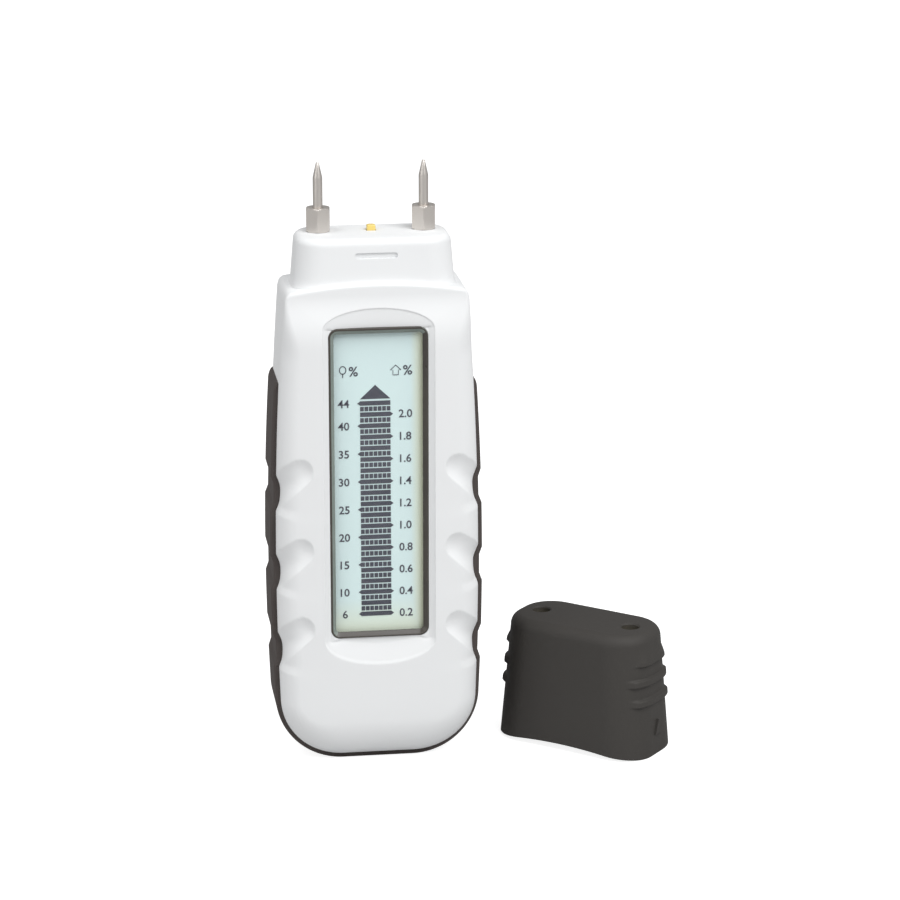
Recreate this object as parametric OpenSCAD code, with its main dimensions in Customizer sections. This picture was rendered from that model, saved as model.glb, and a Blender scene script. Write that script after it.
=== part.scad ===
// Pin-type moisture meter with its protective cap standing beside it.
// X is the width, Y the depth (the display faces -Y), Z the height.
// The origin is the middle of the flat foot that the meter stands on.

/* [Body] */
// Overall width over the rubber grip
body_w = 47; // [44:0.5:50]
// Overall depth of the body
body_d = 25; // [24.5:0.1:25.5]
// Height of the shoulder at its outer ends
shoulder_z = 107.8; // [106:0.1:109]
// Rise of the shoulder at mid width
shoulder_rise = 1.6; // [0.8:0.1:2.4]
// Height of the flat top of the neck
neck_top_z = 118.8; // [118.8:0.1:120]
// Depth plane where the front and rear cases meet
parting_y = -4.3; // [-5:0.1:-4]
// Side wall thickness of the cases
wall = 2.4; // [2.2:0.1:2.6]

/* [Grip] */
// Height where the rubber grip ends on the sides
grip_top_z = 87; // [84:0.5:90]
// How far the grip stands proud of the cases
grip_t = 1.2; // [1:0.1:1.4]
// Depth plane that the grip reaches forward to
grip_lip_y = -6.1; // [-6.4:0.1:-4.3]
// Depth of the finger notches in the sides
notch_depth = 0.65; // [0.4:0.05:0.9]
// Spacing of the three finger notches
notch_pitch = 18; // [16:0.5:19]

/* [Display] */
// Outer width of the window bezel
bezel_w = 21.6; // [20:0.1:22]
// Outer height of the window bezel
bezel_h = 69.9; // [66:0.1:71]
// Height of the middle of the window
window_z = 64.95; // [64:0.05:66]

/* [Electrodes] */
// Distance between the two needles
needle_pitch = 23; // [20:0.5:24]
// Radius of a needle's shaft
needle_r = 1.05; // [0.9:0.01:1.2]
// Height of a needle's tip above the foot
needle_tip_z = 133.9; // [132:0.1:134]
// Size of the hex collar across its flats
hex_af = 5; // [4.5:0.1:5.5]

/* [Battery] */
// Height of the middle of the cell stack
battery_z = 36; // [35:0.5:38]
// Radius of one coin cell
cell_r = 10; // [9.8:0.1:10]
// Thickness of one coin cell
cell_t = 3.2; // [3:0.1:3.2]

/* [Cap] */
// Width of the cap at its mouth
cap_w = 38.4; // [38.2:0.1:39.6]
// Depth of the cap at its mouth
cap_d = 21.6; // [21.4:0.1:22.6]
// Height of the cap
cap_h = 28.7; // [28.6:0.1:31]
// Where the cap stands beside the meter, across
cap_x = 47.8; // [46.5:0.1:56]
// Where the cap stands beside the meter, in depth
cap_y = -1; // [-2:0.5:8]
// Turn of the standing cap about the vertical
cap_turn = -40; // [-60:1:60]

/* [Hidden] */
$fn = 48;
eps = 0.01;

// Outline of the body, seen from the front
belly_z = 45;                       // height where the body is widest
case_half = body_w / 2 - grip_t;
case_span = 40;                     // how slowly the cases narrow away from the belly
grip_span = 36;
foot_r = 15;                        // radius of the grip's lower corners
foot_x = body_w / 2 - pow((foot_r - belly_z) / grip_span, 2) - foot_r;
shoulder_r = 1.6;
notch_zs = [for (k = [-1:1]) 44.2 + k * notch_pitch];
notch_in = 2.1;                     // half length of a notch's floor
notch_out = 3.9;                    // half length of a notch's mouth

// Depth levels
front_y = -body_d / 2;
back_y = body_d / 2;
case_back_y = back_y - 0.6;
inner_front_y = -10.4;
inner_back_y = 10.1;
pocket_y = -11.5;                   // flat floor around the window

// Neck
neck_w = 35.2;
neck_d = 18.4;
neck_taper_w = 0.156;               // loss of width per millimetre of height
neck_taper_d = 0.125;
neck_r = 6;
neck_wall = 1.6;
top_plate = 2;
electrode_y = 1.5;
slot_z = 115.2;

// Window stack
bezel_front_y = pocket_y;
lens_front_y = -10.6;
flange_back_y = -9.6;
glass_front_y = -9.5;
glass_t = 1.8;
view_w = bezel_w - 2.3;
view_h = bezel_h - 2.5;

// Board
board_w = 25.2;
board_y = -4.7;
board_t = 1.6;
board_back_y = board_y + board_t;
board_low_z = 12;
board_top_z = 113;
board_screw_x = 9.5;
board_screw_zs = [20, 108];

// Case screws
screw_x = 15.3;
screw_zs = [22, 94];
post_r = 2.6;
screw_r = 1;
head_y = 8;

// Electrodes
socket_r = 2.4;
socket_bore_r = 1.5;
socket_low_z = 106.5;
stud_r = 1.42;
root_r = 1.3;                       // the needle is thicker where the collar holds it
hex_h = 5.2;
collar_gap = 0.05;                  // gap between a collar or socket and the top of the neck
cone_h = 3.3;

// Plunger
plunger_w = 1.9;
plunger_rise = 1.2;
plunger_travel = 1;
flange_r = 2.1;
flange_h = 1;
flange_top_z = neck_top_z - top_plate - 0.2;
spring_low_z = 110.6;
stem_r = 0.8;

// Battery
door_r = 12.9;
door_seat_r = 13.2;
door_turn = 60;
lip_r = 12.2;
lip_front_y = 8.9;
seat_y = 10.4;
spigot_r = lip_r - 0.08;
stack_y = 0.4;
cup_r = 11.7;
cup_bore_r = cell_r + 0.3;
cup_back_y = 7.8;

// Cap
cap_taper_w = 0.133;
cap_taper_d = 0.11;
cap_r = 8;
cap_edge_r = 2.6;
cap_roof = 1.6;
cap_board_t = 0.8;
cap_gap = 0.2;                      // gap between the cap and the neck or shoulder
cap_seat_z = shoulder_z + cap_gap;
board_under_z = cap_h - cap_roof - cap_board_t;
test_hole_r = 2;
rib_zs = [13.1, 17.7, 22.3];
rib_reach = 16.8;                   // where the upper and lower ribs start, across
mid_rib_reach = 16;

// ---------- helpers ----------

function arc(cx, cy, rx, ry, from, to, n) =
    [for (i = [0:n]) let (a = from + (to - from) * i / n) [cx + rx * cos(a), cy + ry * sin(a)]];

// Closed outline from its right half, whose first and last points lie on the middle line
function mirrored(half) =
    concat(half, [for (i = [len(half) - 2:-1:1]) [-half[i][0], half[i][1]]]);

// Half width at height z, widest at the belly
function bow(z, half, span) = half - pow((z - belly_z) / span, 2);

// Depth of the finger notches at height z
function notch(z) =
    notch_depth * max([for (k = notch_zs)
        min(1, max(0, (notch_out - abs(z - k)) / (notch_out - notch_in)))]);

side_zs = concat([18], [for (k = notch_zs) each [k - notch_out, k - notch_in, k + notch_in, k + notch_out]],
                 [72, 79]);

// Half outlines run from the foot's middle up the right side
function case_half_outline(notched) =
    let (top = bow(shoulder_z, case_half, case_span))
    concat(
        [[0, grip_t], [foot_x / 2, grip_t]],
        arc(foot_x, foot_r, bow(foot_r, case_half, case_span) - foot_x, foot_r - grip_t, -90, 0, 7),
        [for (z = side_zs) [bow(z, case_half, case_span) - (notched ? notch(z) : 0), z]],
        [for (z = [86, 93, 100]) [bow(z, case_half, case_span), z]],
        arc(top - shoulder_r, shoulder_z - shoulder_r, shoulder_r, shoulder_r, 0, 75, 3),
        [for (s = [0.8, 0.6, 0.4, 0.2, 0])
            [s * (top - shoulder_r), shoulder_z + shoulder_rise * (1 - s * s)]]);

function grip_half_outline() =
    let (end = bow(grip_top_z, body_w / 2, grip_span), tip = 2.4)
    concat(
        [[0, 0], [foot_x / 2, 0]],
        arc(foot_x, foot_r, foot_r, foot_r, -90, 0, 7),
        [for (z = side_zs) [bow(z, body_w / 2, grip_span) - notch(z), z]],
        arc(end - grip_t, grip_top_z - tip, grip_t, tip, 0, 90, 4));

// A ring of the outline, drawn in by about inset, at depth y
outline_mid_z = 54;
function ring(half, inset, y) =
    [for (p = mirrored(half)) [p[0] * (1 - inset / case_half), y,
        outline_mid_z + (p[1] - outline_mid_z) * (1 - inset / outline_mid_z)]];

function rrect(w, d, r, n) =
    [for (c = [[1, 1, 0], [-1, 1, 90], [-1, -1, 180], [1, -1, 270]])
        each arc(c[0] * (w / 2 - r), c[1] * (d / 2 - r), r, r, c[2], c[2] + 90, n)];

function plan_ring(w, d, r, z) = [for (p = rrect(w, d, r, 6)) [p[0], p[1], z]];

function front_ring(w, h, r, y) = [for (p = rrect(w, h, r, 4)) [p[0], y, p[1]]];

function middle(ring) =
    [for (k = [0:2]) (min([for (p = ring) p[k]]) + max([for (p = ring) p[k]])) / 2];

// A solid through rings of equally many points, each seen anticlockwise from where the next one lies
module loft(rings) {
    n = len(rings[0]);
    last = (len(rings) - 1) * n;
    low = last + n;
    walls = [for (j = [0:len(rings) - 2]) for (i = [0:n - 1])
        let (a = j * n + i, b = j * n + (i + 1) % n) each [[a, b + n, b], [a, a + n, b + n]]];
    ends = [for (i = [0:n - 1]) each [[low, i, (i + 1) % n], [low + 1, last + (i + 1) % n, last + i]]];
    points = concat([for (r = rings) each r], [middle(rings[0]), middle(rings[len(rings) - 1])]);
    polyhedron(points, concat(walls, ends), convexity = 6);
}

module along_y(y0, y1, r) {
    translate([0, y0, 0]) rotate([-90, 0, 0]) cylinder(h = y1 - y0, r = r);
}

module plate(w, h, r, y0, y1) {
    translate([0, y1, 0]) rotate([90, 0, 0]) linear_extrude(y1 - y0) polygon(rrect(w, h, r, 6));
}

module box(x0, x1, y0, y1, z0, z1) {
    translate([x0, y0, z0]) cube([x1 - x0, y1 - y0, z1 - z0]);
}

// Long rounded bar seen from the front, its round ends centred at x = -half and half
module stadium(half, r, y0, y1) {
    both_sides() translate([half, 0, 0]) along_y(y0, y1, r);
    box(-half, half, y0, y1, -r, r);
}

module both_sides() {
    children();
    mirror([1, 0, 0]) children();
}

// ---------- outer shapes of the cases ----------

// Rear part of the body, reaching forward to depth y
module rear_solid(y) {
    half = case_half_outline(true);
    loft([ring(half, 4.2, case_back_y), ring(half, 2, 11.3), ring(half, 0.6, 10), ring(half, 0, 8),
          ring(half, 0, y)]);
}

module front_solid() {
    half = case_half_outline(true);
    loft([
        ring(half, 0, parting_y), ring(half, 0.15, -7.6), ring(half, 0.7, -9.4), ring(half, 1.8, -10.7),
        ring(half, 3.6, -11.6), ring(half, 8, -12.2), ring(half, 14, front_y),
    ]);
}

module rear_cavity() {
    half = case_half_outline(false);
    loft([ring(half, wall + 3, inner_back_y), ring(half, wall, 7), ring(half, wall, parting_y - 1)]);
}

module front_cavity() {
    half = case_half_outline(false);
    loft([ring(half, wall, parting_y + 1), ring(half, wall, -7), ring(half, wall + 3, inner_front_y)]);
}

module neck_solid() {
    h = neck_top_z - shoulder_z;
    w = neck_w - neck_taper_w * h;
    d = neck_d - neck_taper_d * h;
    loft([
        plan_ring(neck_w + 1, neck_d + 0.8, neck_r, shoulder_z - 6),
        plan_ring(neck_w, neck_d, neck_r, shoulder_z),
        plan_ring(w + 0.25, d + 0.2, neck_r, neck_top_z - 1.6),
        plan_ring(w - 0.5, d - 0.5, neck_r, neck_top_z - 0.6),
        plan_ring(w - 1.4, d - 1.4, neck_r - 0.4, neck_top_z - 0.15),
        plan_ring(w - 2.6, d - 2.6, neck_r - 1, neck_top_z),
    ]);
}

module neck_cavity() {
    h = neck_top_z - top_plate - shoulder_z;
    w = neck_w - 2 * neck_wall;
    d = neck_d - 2 * neck_wall;
    loft([plan_ring(w, d, neck_r - 1, shoulder_z - 8), plan_ring(w, d, neck_r - 1, shoulder_z),
          plan_ring(w - neck_taper_w * h, d - neck_taper_d * h, neck_r - 1, neck_top_z - top_plate)]);
}

// Finger hollow over the edge between the front and the side, sloping down and out
module scallop(z) {
    tube_r = 4.2;
    reach = 12;
    translate([18, front_y - 1.9, z]) rotate([0, 118, 0]) rotate([-26, 0, 0])
        rotate_extrude()
            polygon(concat([[0, reach]], arc(0, 0, tube_r, tube_r, -90, 0, 6), [[tube_r, reach]]));
}

module scallops() {
    both_sides() for (z = notch_zs) scallop(z);
}

// Shallow flat pocket around the window, with sloping ends
module window_pocket() {
    half = [for (i = [0:8]) [12.2 * sin(90 * i / 8), 29.5 - 5.4 * cos(90 * i / 8)]];
    upper = [for (i = [8:-1:0]) [12.2 * sin(90 * i / 8), 99.6 + 4.6 * cos(90 * i / 8)]];
    outline = mirrored(concat(half, upper));
    mid = window_z;
    loft([for (s = [[0.94, pocket_y], [1, -12.4], [1.1, -13.4]])
        [for (p = outline) [p[0] * s[0], s[1], mid + (p[1] - mid) * (1 - (1 - s[0]) * 0.35)]]]);
}

module screw_posts(y0, y1) {
    both_sides() for (z = screw_zs) translate([screw_x, 0, z]) along_y(y0, y1, post_r);
}

// ---------- cases ----------

module front_case() color("whitesmoke") difference() {
    union() {
        difference() {
            union() {
                front_solid();
                intersection() {
                    neck_solid();
                    box(-30, 30, -20, parting_y, 90, 130);
                }
            }
            front_cavity();
            neck_cavity();
        }
        screw_posts(-10.8, parting_y);
        both_sides() {
            translate([board_screw_x, 0, board_screw_zs[0]]) along_y(-10.8, board_y, 2);
            translate([board_screw_x, 0, board_screw_zs[1]]) along_y(-8, board_y, 2);
        }
    }
    window_pocket();
    translate([0, 0, window_z]) plate(bezel_w + 0.1, bezel_h + 0.1, 2.05, -14, -9);
    scallops();
    // shallow stadium slot in the neck that the cap clicks into
    translate([0, 0, slot_z]) stadium(4, 0.65, -12, -8.25);
    both_sides() {
        for (z = screw_zs) translate([screw_x, 0, z]) along_y(-8.6, parting_y + 1, screw_r + 0.05);
        translate([board_screw_x, 0, board_screw_zs[0]]) along_y(-9, board_y + 1, 0.85);
        translate([board_screw_x, 0, board_screw_zs[1]]) along_y(-7.6, board_y + 1, 0.85);
    }
}

module rear_case() color("whitesmoke") difference() {
    union() {
        difference() {
            union() {
                rear_solid(parting_y);
                intersection() {
                    neck_solid();
                    box(-30, 30, parting_y, 20, 90, 130);
                }
            }
            rear_cavity();
            neck_cavity();
        }
        screw_posts(parting_y, 11);
        // raised seat for the battery door
        translate([0, 0, battery_z]) along_y(lip_front_y, case_back_y - 0.1, 15);
    }
    both_sides() for (z = screw_zs) translate([screw_x, 0, z]) {
        along_y(parting_y - 1, 13, screw_r + 0.35);
        along_y(head_y, 13, 2.3);
    }
    translate([0, 0, battery_z]) {
        along_y(seat_y, 13, door_seat_r);
        along_y(8, 13, lip_r);
        // two gaps in the lip let the door's lugs in
        for (turn = [0, 180]) rotate([0, turn + door_turn, 0]) lug(door_seat_r + 0.3, 7.5, seat_y + 0.2, 6.6);
    }
    both_sides() translate([needle_pitch / 2, electrode_y, 110]) cylinder(h = 10, r = socket_r + 0.05);
    box(-plunger_w / 2 - 0.15, plunger_w / 2 + 0.15, electrode_y - plunger_w / 2 - 0.15,
        electrode_y + plunger_w / 2 + 0.15, 112, 121);
}

module grip_boot() color([0.13, 0.12, 0.11]) difference() {
    half = grip_half_outline();
    loft([ring(half, 4.8, back_y), ring(half, 2.4, 12), ring(half, 0.8, 10.6), ring(half, 0, 8.4),
          ring(half, 0, grip_lip_y)]);
    rear_solid(grip_lip_y - 1);
    // the grip leaves the middle of the back open
    translate([0, 0, 67]) plate(35.8, 120, 8, 6, 20);
}

module case_screws() color("silver") both_sides() for (z = screw_zs) translate([screw_x, 0, z]) difference() {
    union() {
        along_y(-8, head_y + eps, screw_r);
        along_y(head_y, head_y + 1.5, 2);
    }
    for (turn = [0, 90]) rotate([0, turn, 0]) box(-1.2, 1.2, head_y + 0.7, head_y + 2, -0.28, 0.28);
}

// ---------- display ----------

module window_bezel() color([0.25, 0.25, 0.24]) translate([0, 0, window_z]) difference() {
    union() {
        plate(bezel_w, bezel_h, 2, bezel_front_y, flange_back_y);
        plate(bezel_w + 2.6, bezel_h + 2.6, 2, inner_front_y + 0.05, flange_back_y);
    }
    loft([front_ring(view_w + 0.4, view_h + 0.4, 1.1, bezel_front_y + 0.45),
          front_ring(bezel_w - 0.9, bezel_h - 0.9, 1.6, bezel_front_y - 0.05)]);
    plate(view_w, view_h, 0.8, -14, -8);
    plate(view_w + 1.4, view_h + 1.4, 1, lens_front_y, -8);
}

module window_lens() color([0.85, 0.95, 0.95, 0.3]) translate([0, 0, window_z])
    plate(view_w + 1.3, view_h + 1.3, 1, lens_front_y, flange_back_y);

module lcd_glass() color([0.8, 0.9, 0.88]) translate([0, 0, window_z])
    box(-11, 11, glass_front_y, glass_front_y + glass_t, -35.2, 35.2);

module lcd_backlight() color([0.92, 0.93, 0.88]) translate([0, 0, window_z])
    box(-10.6, 10.6, glass_front_y + glass_t, -6.3, -34.4, 34.4);

module lcd_holder() color([0.9, 0.9, 0.88]) translate([0, 0, window_z]) difference() {
    box(-12.1, 12.1, -9.4, board_y, -36.6, 36.6);
    box(-11.05, 11.05, -12, glass_front_y + glass_t, -35.25, 35.25);
    box(-10.65, 10.65, -12, -6.3, -34.45, 34.45);
    box(-9.6, 9.6, -12, -4, -30, 30);
    zebra_slots(9, -12, -4, 0.1);
}

// Space for the strips that join the glass to the board, past both ends of the backlight
module zebra_slots(half, y0, y1, gap) {
    for (turn = [0, 180]) rotate([0, turn, 0]) box(-half, half, y0, y1, 34.55 - gap, 35.15 + gap);
}

module zebra_strips() color([0.75, 0.45, 0.5]) translate([0, 0, window_z])
    zebra_slots(8.9, glass_front_y + glass_t, board_y, 0);

// ---------- electronics ----------

module main_board() color([0.05, 0.35, 0.15]) difference() {
    box(-board_w / 2, board_w / 2, board_y, board_back_y, board_low_z, board_top_z);
    both_sides() for (z = board_screw_zs) translate([board_screw_x, 0, z]) along_y(-6, -2, 1.1);
}

module controller_chip() color([0.08, 0.08, 0.08]) {
    box(-5, 5, board_back_y + 0.15, board_back_y + 1.5, 60, 70);
    both_sides() for (i = [0:8]) box(4.95, 6.2, board_back_y, board_back_y + 0.4, 60.9 + i, 61.3 + i);
}

module board_components() color([0.55, 0.5, 0.42])
    for (row = [0:3]) for (col = [0:3])
        translate([-9 + col * 4.6, board_back_y, 76 + row * 4.2]) cube([2, 0.8, 1.2]);

module quartz_crystal() color("silver") translate([0, 0, 54.5])
    stadium(2.6, 1.8, board_back_y, board_back_y + 3);

module board_screws() color("silver") both_sides() for (z = board_screw_zs)
    translate([board_screw_x, 0, z]) difference() {
        union() {
            along_y(z > 60 ? -7.4 : -8.8, board_back_y + eps, 0.8);
            along_y(board_back_y, board_back_y + 1.1, 1.7);
        }
        for (turn = [0, 90]) rotate([0, turn, 0])
            box(-1, 1, board_back_y + 0.5, board_back_y + 2, -0.22, 0.22);
    }

// ---------- electrodes and power switch ----------

module terminal() color([0.8, 0.65, 0.3]) difference() {
    translate([needle_pitch / 2, electrode_y, socket_low_z])
        cylinder(h = neck_top_z - collar_gap - socket_low_z, r = socket_r);
    translate([needle_pitch / 2, electrode_y, socket_low_z + 1]) cylinder(h = 20, r = socket_bore_r);
}
module left_terminal() mirror([1, 0, 0]) terminal();
module right_terminal() terminal();

// Bent contact strips from the sockets down to the board
module terminal_strips() color([0.85, 0.7, 0.35]) both_sides() translate([needle_pitch / 2, 0, 0]) {
    box(-1, 1, board_back_y, electrode_y + 1.5, socket_low_z - 0.4, socket_low_z);
    box(-1, 1, board_back_y, board_back_y + 0.4, socket_low_z - 4, socket_low_z - 0.4);
}

module needle() color([0.75, 0.73, 0.7]) translate([needle_pitch / 2, electrode_y, 0]) {
    collar_top = neck_top_z + collar_gap + hex_h;
    shaft_top = needle_tip_z - cone_h;
    translate([0, 0, neck_top_z - 10.6]) cylinder(h = 10.6, r = stud_r);
    translate([0, 0, neck_top_z - eps]) cylinder(h = collar_top - neck_top_z + eps, r = root_r);
    translate([0, 0, collar_top - eps]) cylinder(h = shaft_top - collar_top + eps, r = needle_r);
    translate([0, 0, shaft_top]) rotate_extrude()
        polygon([[0, 0], [needle_r, 0], [0.62, 1.9], [0.28, cone_h - 0.15], [0, cone_h]]);
}
module left_needle() mirror([1, 0, 0]) needle();
module right_needle() needle();

module hex_collar(turn) color([0.72, 0.7, 0.68])
    translate([needle_pitch / 2, electrode_y, neck_top_z + collar_gap]) difference() {
    intersection() {
        rotate([0, 0, turn]) cylinder(h = hex_h, r = hex_af / 2 / cos(30), $fn = 6);
        // the corners are turned off at both ends
        rotate_extrude() polygon([[0, 0], [hex_af / 2 + 0.1, 0], [hex_af / 2 + 0.45, 0.3],
            [hex_af / 2 + 0.45, hex_h - 0.3], [hex_af / 2 + 0.1, hex_h], [0, hex_h]]);
    }
    translate([0, 0, -1]) cylinder(h = hex_h + 2, r = root_r);
}
module left_hex_collar() mirror([1, 0, 0]) hex_collar(38);
module right_hex_collar() hex_collar(22);

module plunger() color([0.95, 0.8, 0.3]) translate([0, electrode_y, 0]) {
    half = plunger_w / 2;
    box(-half, half, -half, half, flange_top_z - eps, neck_top_z + plunger_rise);
    translate([0, 0, flange_top_z - flange_h]) cylinder(h = flange_h, r = flange_r);
    translate([0, 0, spring_low_z + plunger_travel + 0.05])
        cylinder(h = flange_top_z - spring_low_z - plunger_travel - 0.5, r = stem_r);
}

// Return spring, wound from round wire
module plunger_spring() color("silver") translate([0, electrode_y, 0]) {
    turns = 4.5;
    wire_r = 0.18;
    coil_r = 1.4;
    low = spring_low_z + wire_r + 0.02;
    rise = flange_top_z - flange_h - spring_low_z - 2 * wire_r - 0.04;
    steps = 60;
    loft([for (i = [0:steps]) let (a = 360 * turns * i / steps, z = low + rise * i / steps)
        [for (k = [0:5]) let (r = coil_r + wire_r * cos(60 * k))
            [r * cos(a), r * sin(a), z - wire_r * sin(60 * k)]]]);
}

module cap_switch() color([0.15, 0.15, 0.16]) translate([0, electrode_y, 0]) {
    box(-3, 3, -1.8, 1.8, 106.4, 109.8);
    translate([0, 0, 109.8 - eps]) cylinder(h = spring_low_z - 109.8 + eps, r = 1.75);
}

module switch_board() color([0.05, 0.35, 0.15])
    box(-5, 5, board_back_y, 6, 105.2, 106.4);

// ---------- battery ----------

// Sector pointing along X, half_w across from the middle at 20 mm out
module lug(r, y0, y1, half_w) {
    intersection() {
        along_y(y0, y1, r);
        rotate([90, 0, 0]) linear_extrude(30, center = true) polygon([[0, 0], [20, -half_w], [20, half_w]]);
    }
}

module battery_cup() color([0.85, 0.85, 0.83]) translate([0, 0, battery_z]) difference() {
    along_y(board_back_y, cup_back_y, cup_r);
    along_y(-0.6, 20, cup_bore_r);
    // slot for the side contact
    box(9, 13, 1, 20, -2.2, 2.2);
}

module battery_minus_contact() color([0.8, 0.78, 0.7]) translate([0, 0, battery_z]) {
    along_y(-0.6, -0.25, 6);
    along_y(-0.25 - eps, stack_y, 2.2);
}

module battery_plus_contact() color([0.8, 0.78, 0.7]) translate([0, 0, battery_z]) {
    box(10.02, 10.32, 1.4, 7.4, -2, 2);
    box(10.32 - eps, 12.2, 1.4, 1.7, -2, 2);
    box(11.9, 12.2, board_back_y, 1.7, -2, 2);
}

module coin_cell(k) color([0.8, 0.8, 0.8]) translate([0, 0, battery_z]) {
    y = stack_y + k * cell_t;
    along_y(y + 0.25, y + cell_t, cell_r);
    along_y(y, y + 0.25 + eps, cell_r - 1.2);
}
module coin_cell_1() coin_cell(0);
module coin_cell_2() coin_cell(1);
module coin_cell_3() coin_cell(2);

module battery_door() color([0.93, 0.93, 0.92]) translate([0, 0, battery_z]) difference() {
    union() {
        along_y(seat_y + 0.4, case_back_y, door_r);
        along_y(8, seat_y + 0.4 + eps, spigot_r);
        // bayonet lugs under the lip
        for (turn = [0, 180]) rotate([0, turn, 0]) lug(door_r, 8.1, lip_front_y - 0.1, 5.4);
    }
    along_y(7, seat_y + 0.4, spigot_r - 1);
    // coin slot
    box(-8, 8, case_back_y - 0.7, 14, -1, 1);
}

module door_seal() color([0.1, 0.1, 0.1]) translate([0, 0, battery_z]) difference() {
    along_y(seat_y + 0.02, seat_y + 0.4, door_r - 0.1);
    along_y(seat_y - 1, seat_y + 1, spigot_r);
}

module door_pad() color([0.3, 0.3, 0.32]) translate([0, 0, battery_z])
    along_y(stack_y + 3 * cell_t + 0.05, seat_y + 0.4, 8);

// ---------- cap, drawn with its mouth on z = 0 ----------

module place_cap() {
    translate([cap_x, cap_y, 0]) rotate([0, 0, cap_turn]) children();
}

function cap_ring(grow, z) =
    plan_ring(cap_w - cap_taper_w * z + 2 * grow, cap_d - cap_taper_d * z + 2 * grow, cap_r + grow, z);

module cap_outer() {
    z1 = cap_h - cap_edge_r;
    loft(concat([cap_ring(0, -1), cap_ring(0, z1)],
        [for (a = [20:14:90]) cap_ring(-cap_edge_r * (1 - cos(a)), z1 + cap_edge_r * sin(a))]));
}

module cap_inner() {
    roof = cap_h - cap_roof;
    w = neck_w + 2 * cap_gap;
    d = neck_d + 2 * cap_gap;
    loft([plan_ring(w + neck_taper_w * 2, d + neck_taper_d * 2, neck_r, -2),
          plan_ring(w - neck_taper_w * roof, d - neck_taper_d * roof, neck_r, roof)]);
}

module cap_ribs() {
    for (z = rib_zs) intersection() {
        loft([for (s = [[-0.5, -1.05], [0.35, -1.05], [0.7, -0.6], [0.7, 0.6], [0.35, 1.05], [-0.5, 1.05]])
            cap_ring(s[0], z + s[1])]);
        union() {
            reach = z == rib_zs[1] ? mid_rib_reach : rib_reach;
            box(reach, 30, -20, 20, 0, 30);
            box(-30, -reach, -20, 20, 0, 30);
        }
    }
}

module test_holes(r, z0, z1) {
    both_sides() translate([needle_pitch / 2, 0, z0]) cylinder(h = z1 - z0, r = r);
}

module cap_shell() color([0.15, 0.14, 0.13]) place_cap() difference() {
    union() {
        difference() {
            union() {
                cap_outer();
                cap_ribs();
            }
            cap_inner();
        }
        // post that pushes the plunger in when the cap is on
        box(-1.3, 1.3, electrode_y - 1.3, electrode_y + 1.3,
            neck_top_z + plunger_rise - plunger_travel - cap_seat_z, cap_h - cap_roof + 0.5);
        // ridge that clicks into the neck's slot
        box(-3.4, 3.4, -10.6, -8.55, slot_z - cap_seat_z - 0.4, slot_z - cap_seat_z + 0.4);
        // small arrow on one end
        translate([cap_w / 2 - 2, 0, 4.8]) rotate([90, 0, 90]) linear_extrude(1.9)
            polygon([[-1.4, 0], [1.4, 0], [0, 3.4]]);
    }
    test_holes(test_hole_r, cap_h - cap_roof - 1, cap_h + 1);
    cap_screw_holes(0.6, board_under_z);
    // the mouth is arched to match the shoulder
    arch_r = (pow(cap_w / 2, 2) + pow(shoulder_rise, 2)) / (2 * shoulder_rise);
    translate([0, 0, shoulder_rise - arch_r]) along_y(-30, 30, arch_r, $fn = 96);
}

module cap_test_board() color([0.1, 0.4, 0.2]) place_cap() difference() {
    box(-14.2, 14.2, -5.2, 5.2, board_under_z, board_under_z + cap_board_t);
    box(-1.6, 1.6, electrode_y - 1.6, electrode_y + 1.6, 20, 40);
    test_holes(1.78, board_under_z + 0.4, 40);
    cap_screw_holes(0.65, board_under_z - 1);
}

module cap_screw_holes(r, z0) {
    both_sides() translate([8, -2.6, z0]) cylinder(h = cap_h - 0.5 - z0, r = r);
}

module cap_board_screws() color("silver") place_cap() {
    cap_screw_holes(0.55, board_under_z - eps);
    both_sides() translate([8, -2.6, board_under_z - 0.6]) cylinder(h = 0.6, r = 1.1);
}

module cap_test_contacts() color([0.85, 0.75, 0.45]) place_cap()
    test_holes(1.75, board_under_z + 0.4, board_under_z + cap_board_t);

module cap_test_resistors() color([0.1, 0.1, 0.12]) place_cap()
    both_sides() box(3.4, 6, -0.9, 0.9, board_under_z - 0.45, board_under_z);

front_case();
rear_case();
grip_boot();
window_bezel();
window_lens();
lcd_glass();
lcd_backlight();
lcd_holder();
zebra_strips();
main_board();
controller_chip();
board_components();
quartz_crystal();
board_screws();
case_screws();
left_terminal();
right_terminal();
terminal_strips();
switch_board();
cap_switch();
plunger_spring();
battery_cup();
battery_plus_contact();
battery_minus_contact();
coin_cell_1();
coin_cell_2();
coin_cell_3();
plunger();
left_needle();
left_hex_collar();
right_needle();
right_hex_collar();
battery_door();
door_seal();
door_pad();
cap_shell();
cap_test_board();
cap_test_contacts();
cap_test_resistors();
cap_board_screws();
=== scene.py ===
"""Visual model of a pocket pin moisture meter with its protective cap standing beside it.

Lengths are millimetres unless a name says otherwise, and turn into metres where a mesh is made.
X is the width, Y the depth with the display facing -Y, and Z the height.
"""

from __future__ import annotations

import logging
import math
from dataclasses import dataclass, field
from enum import Enum
from typing import Iterable, Sequence

import bmesh
import bpy
import numpy as np
from mathutils import Matrix, Vector


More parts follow.
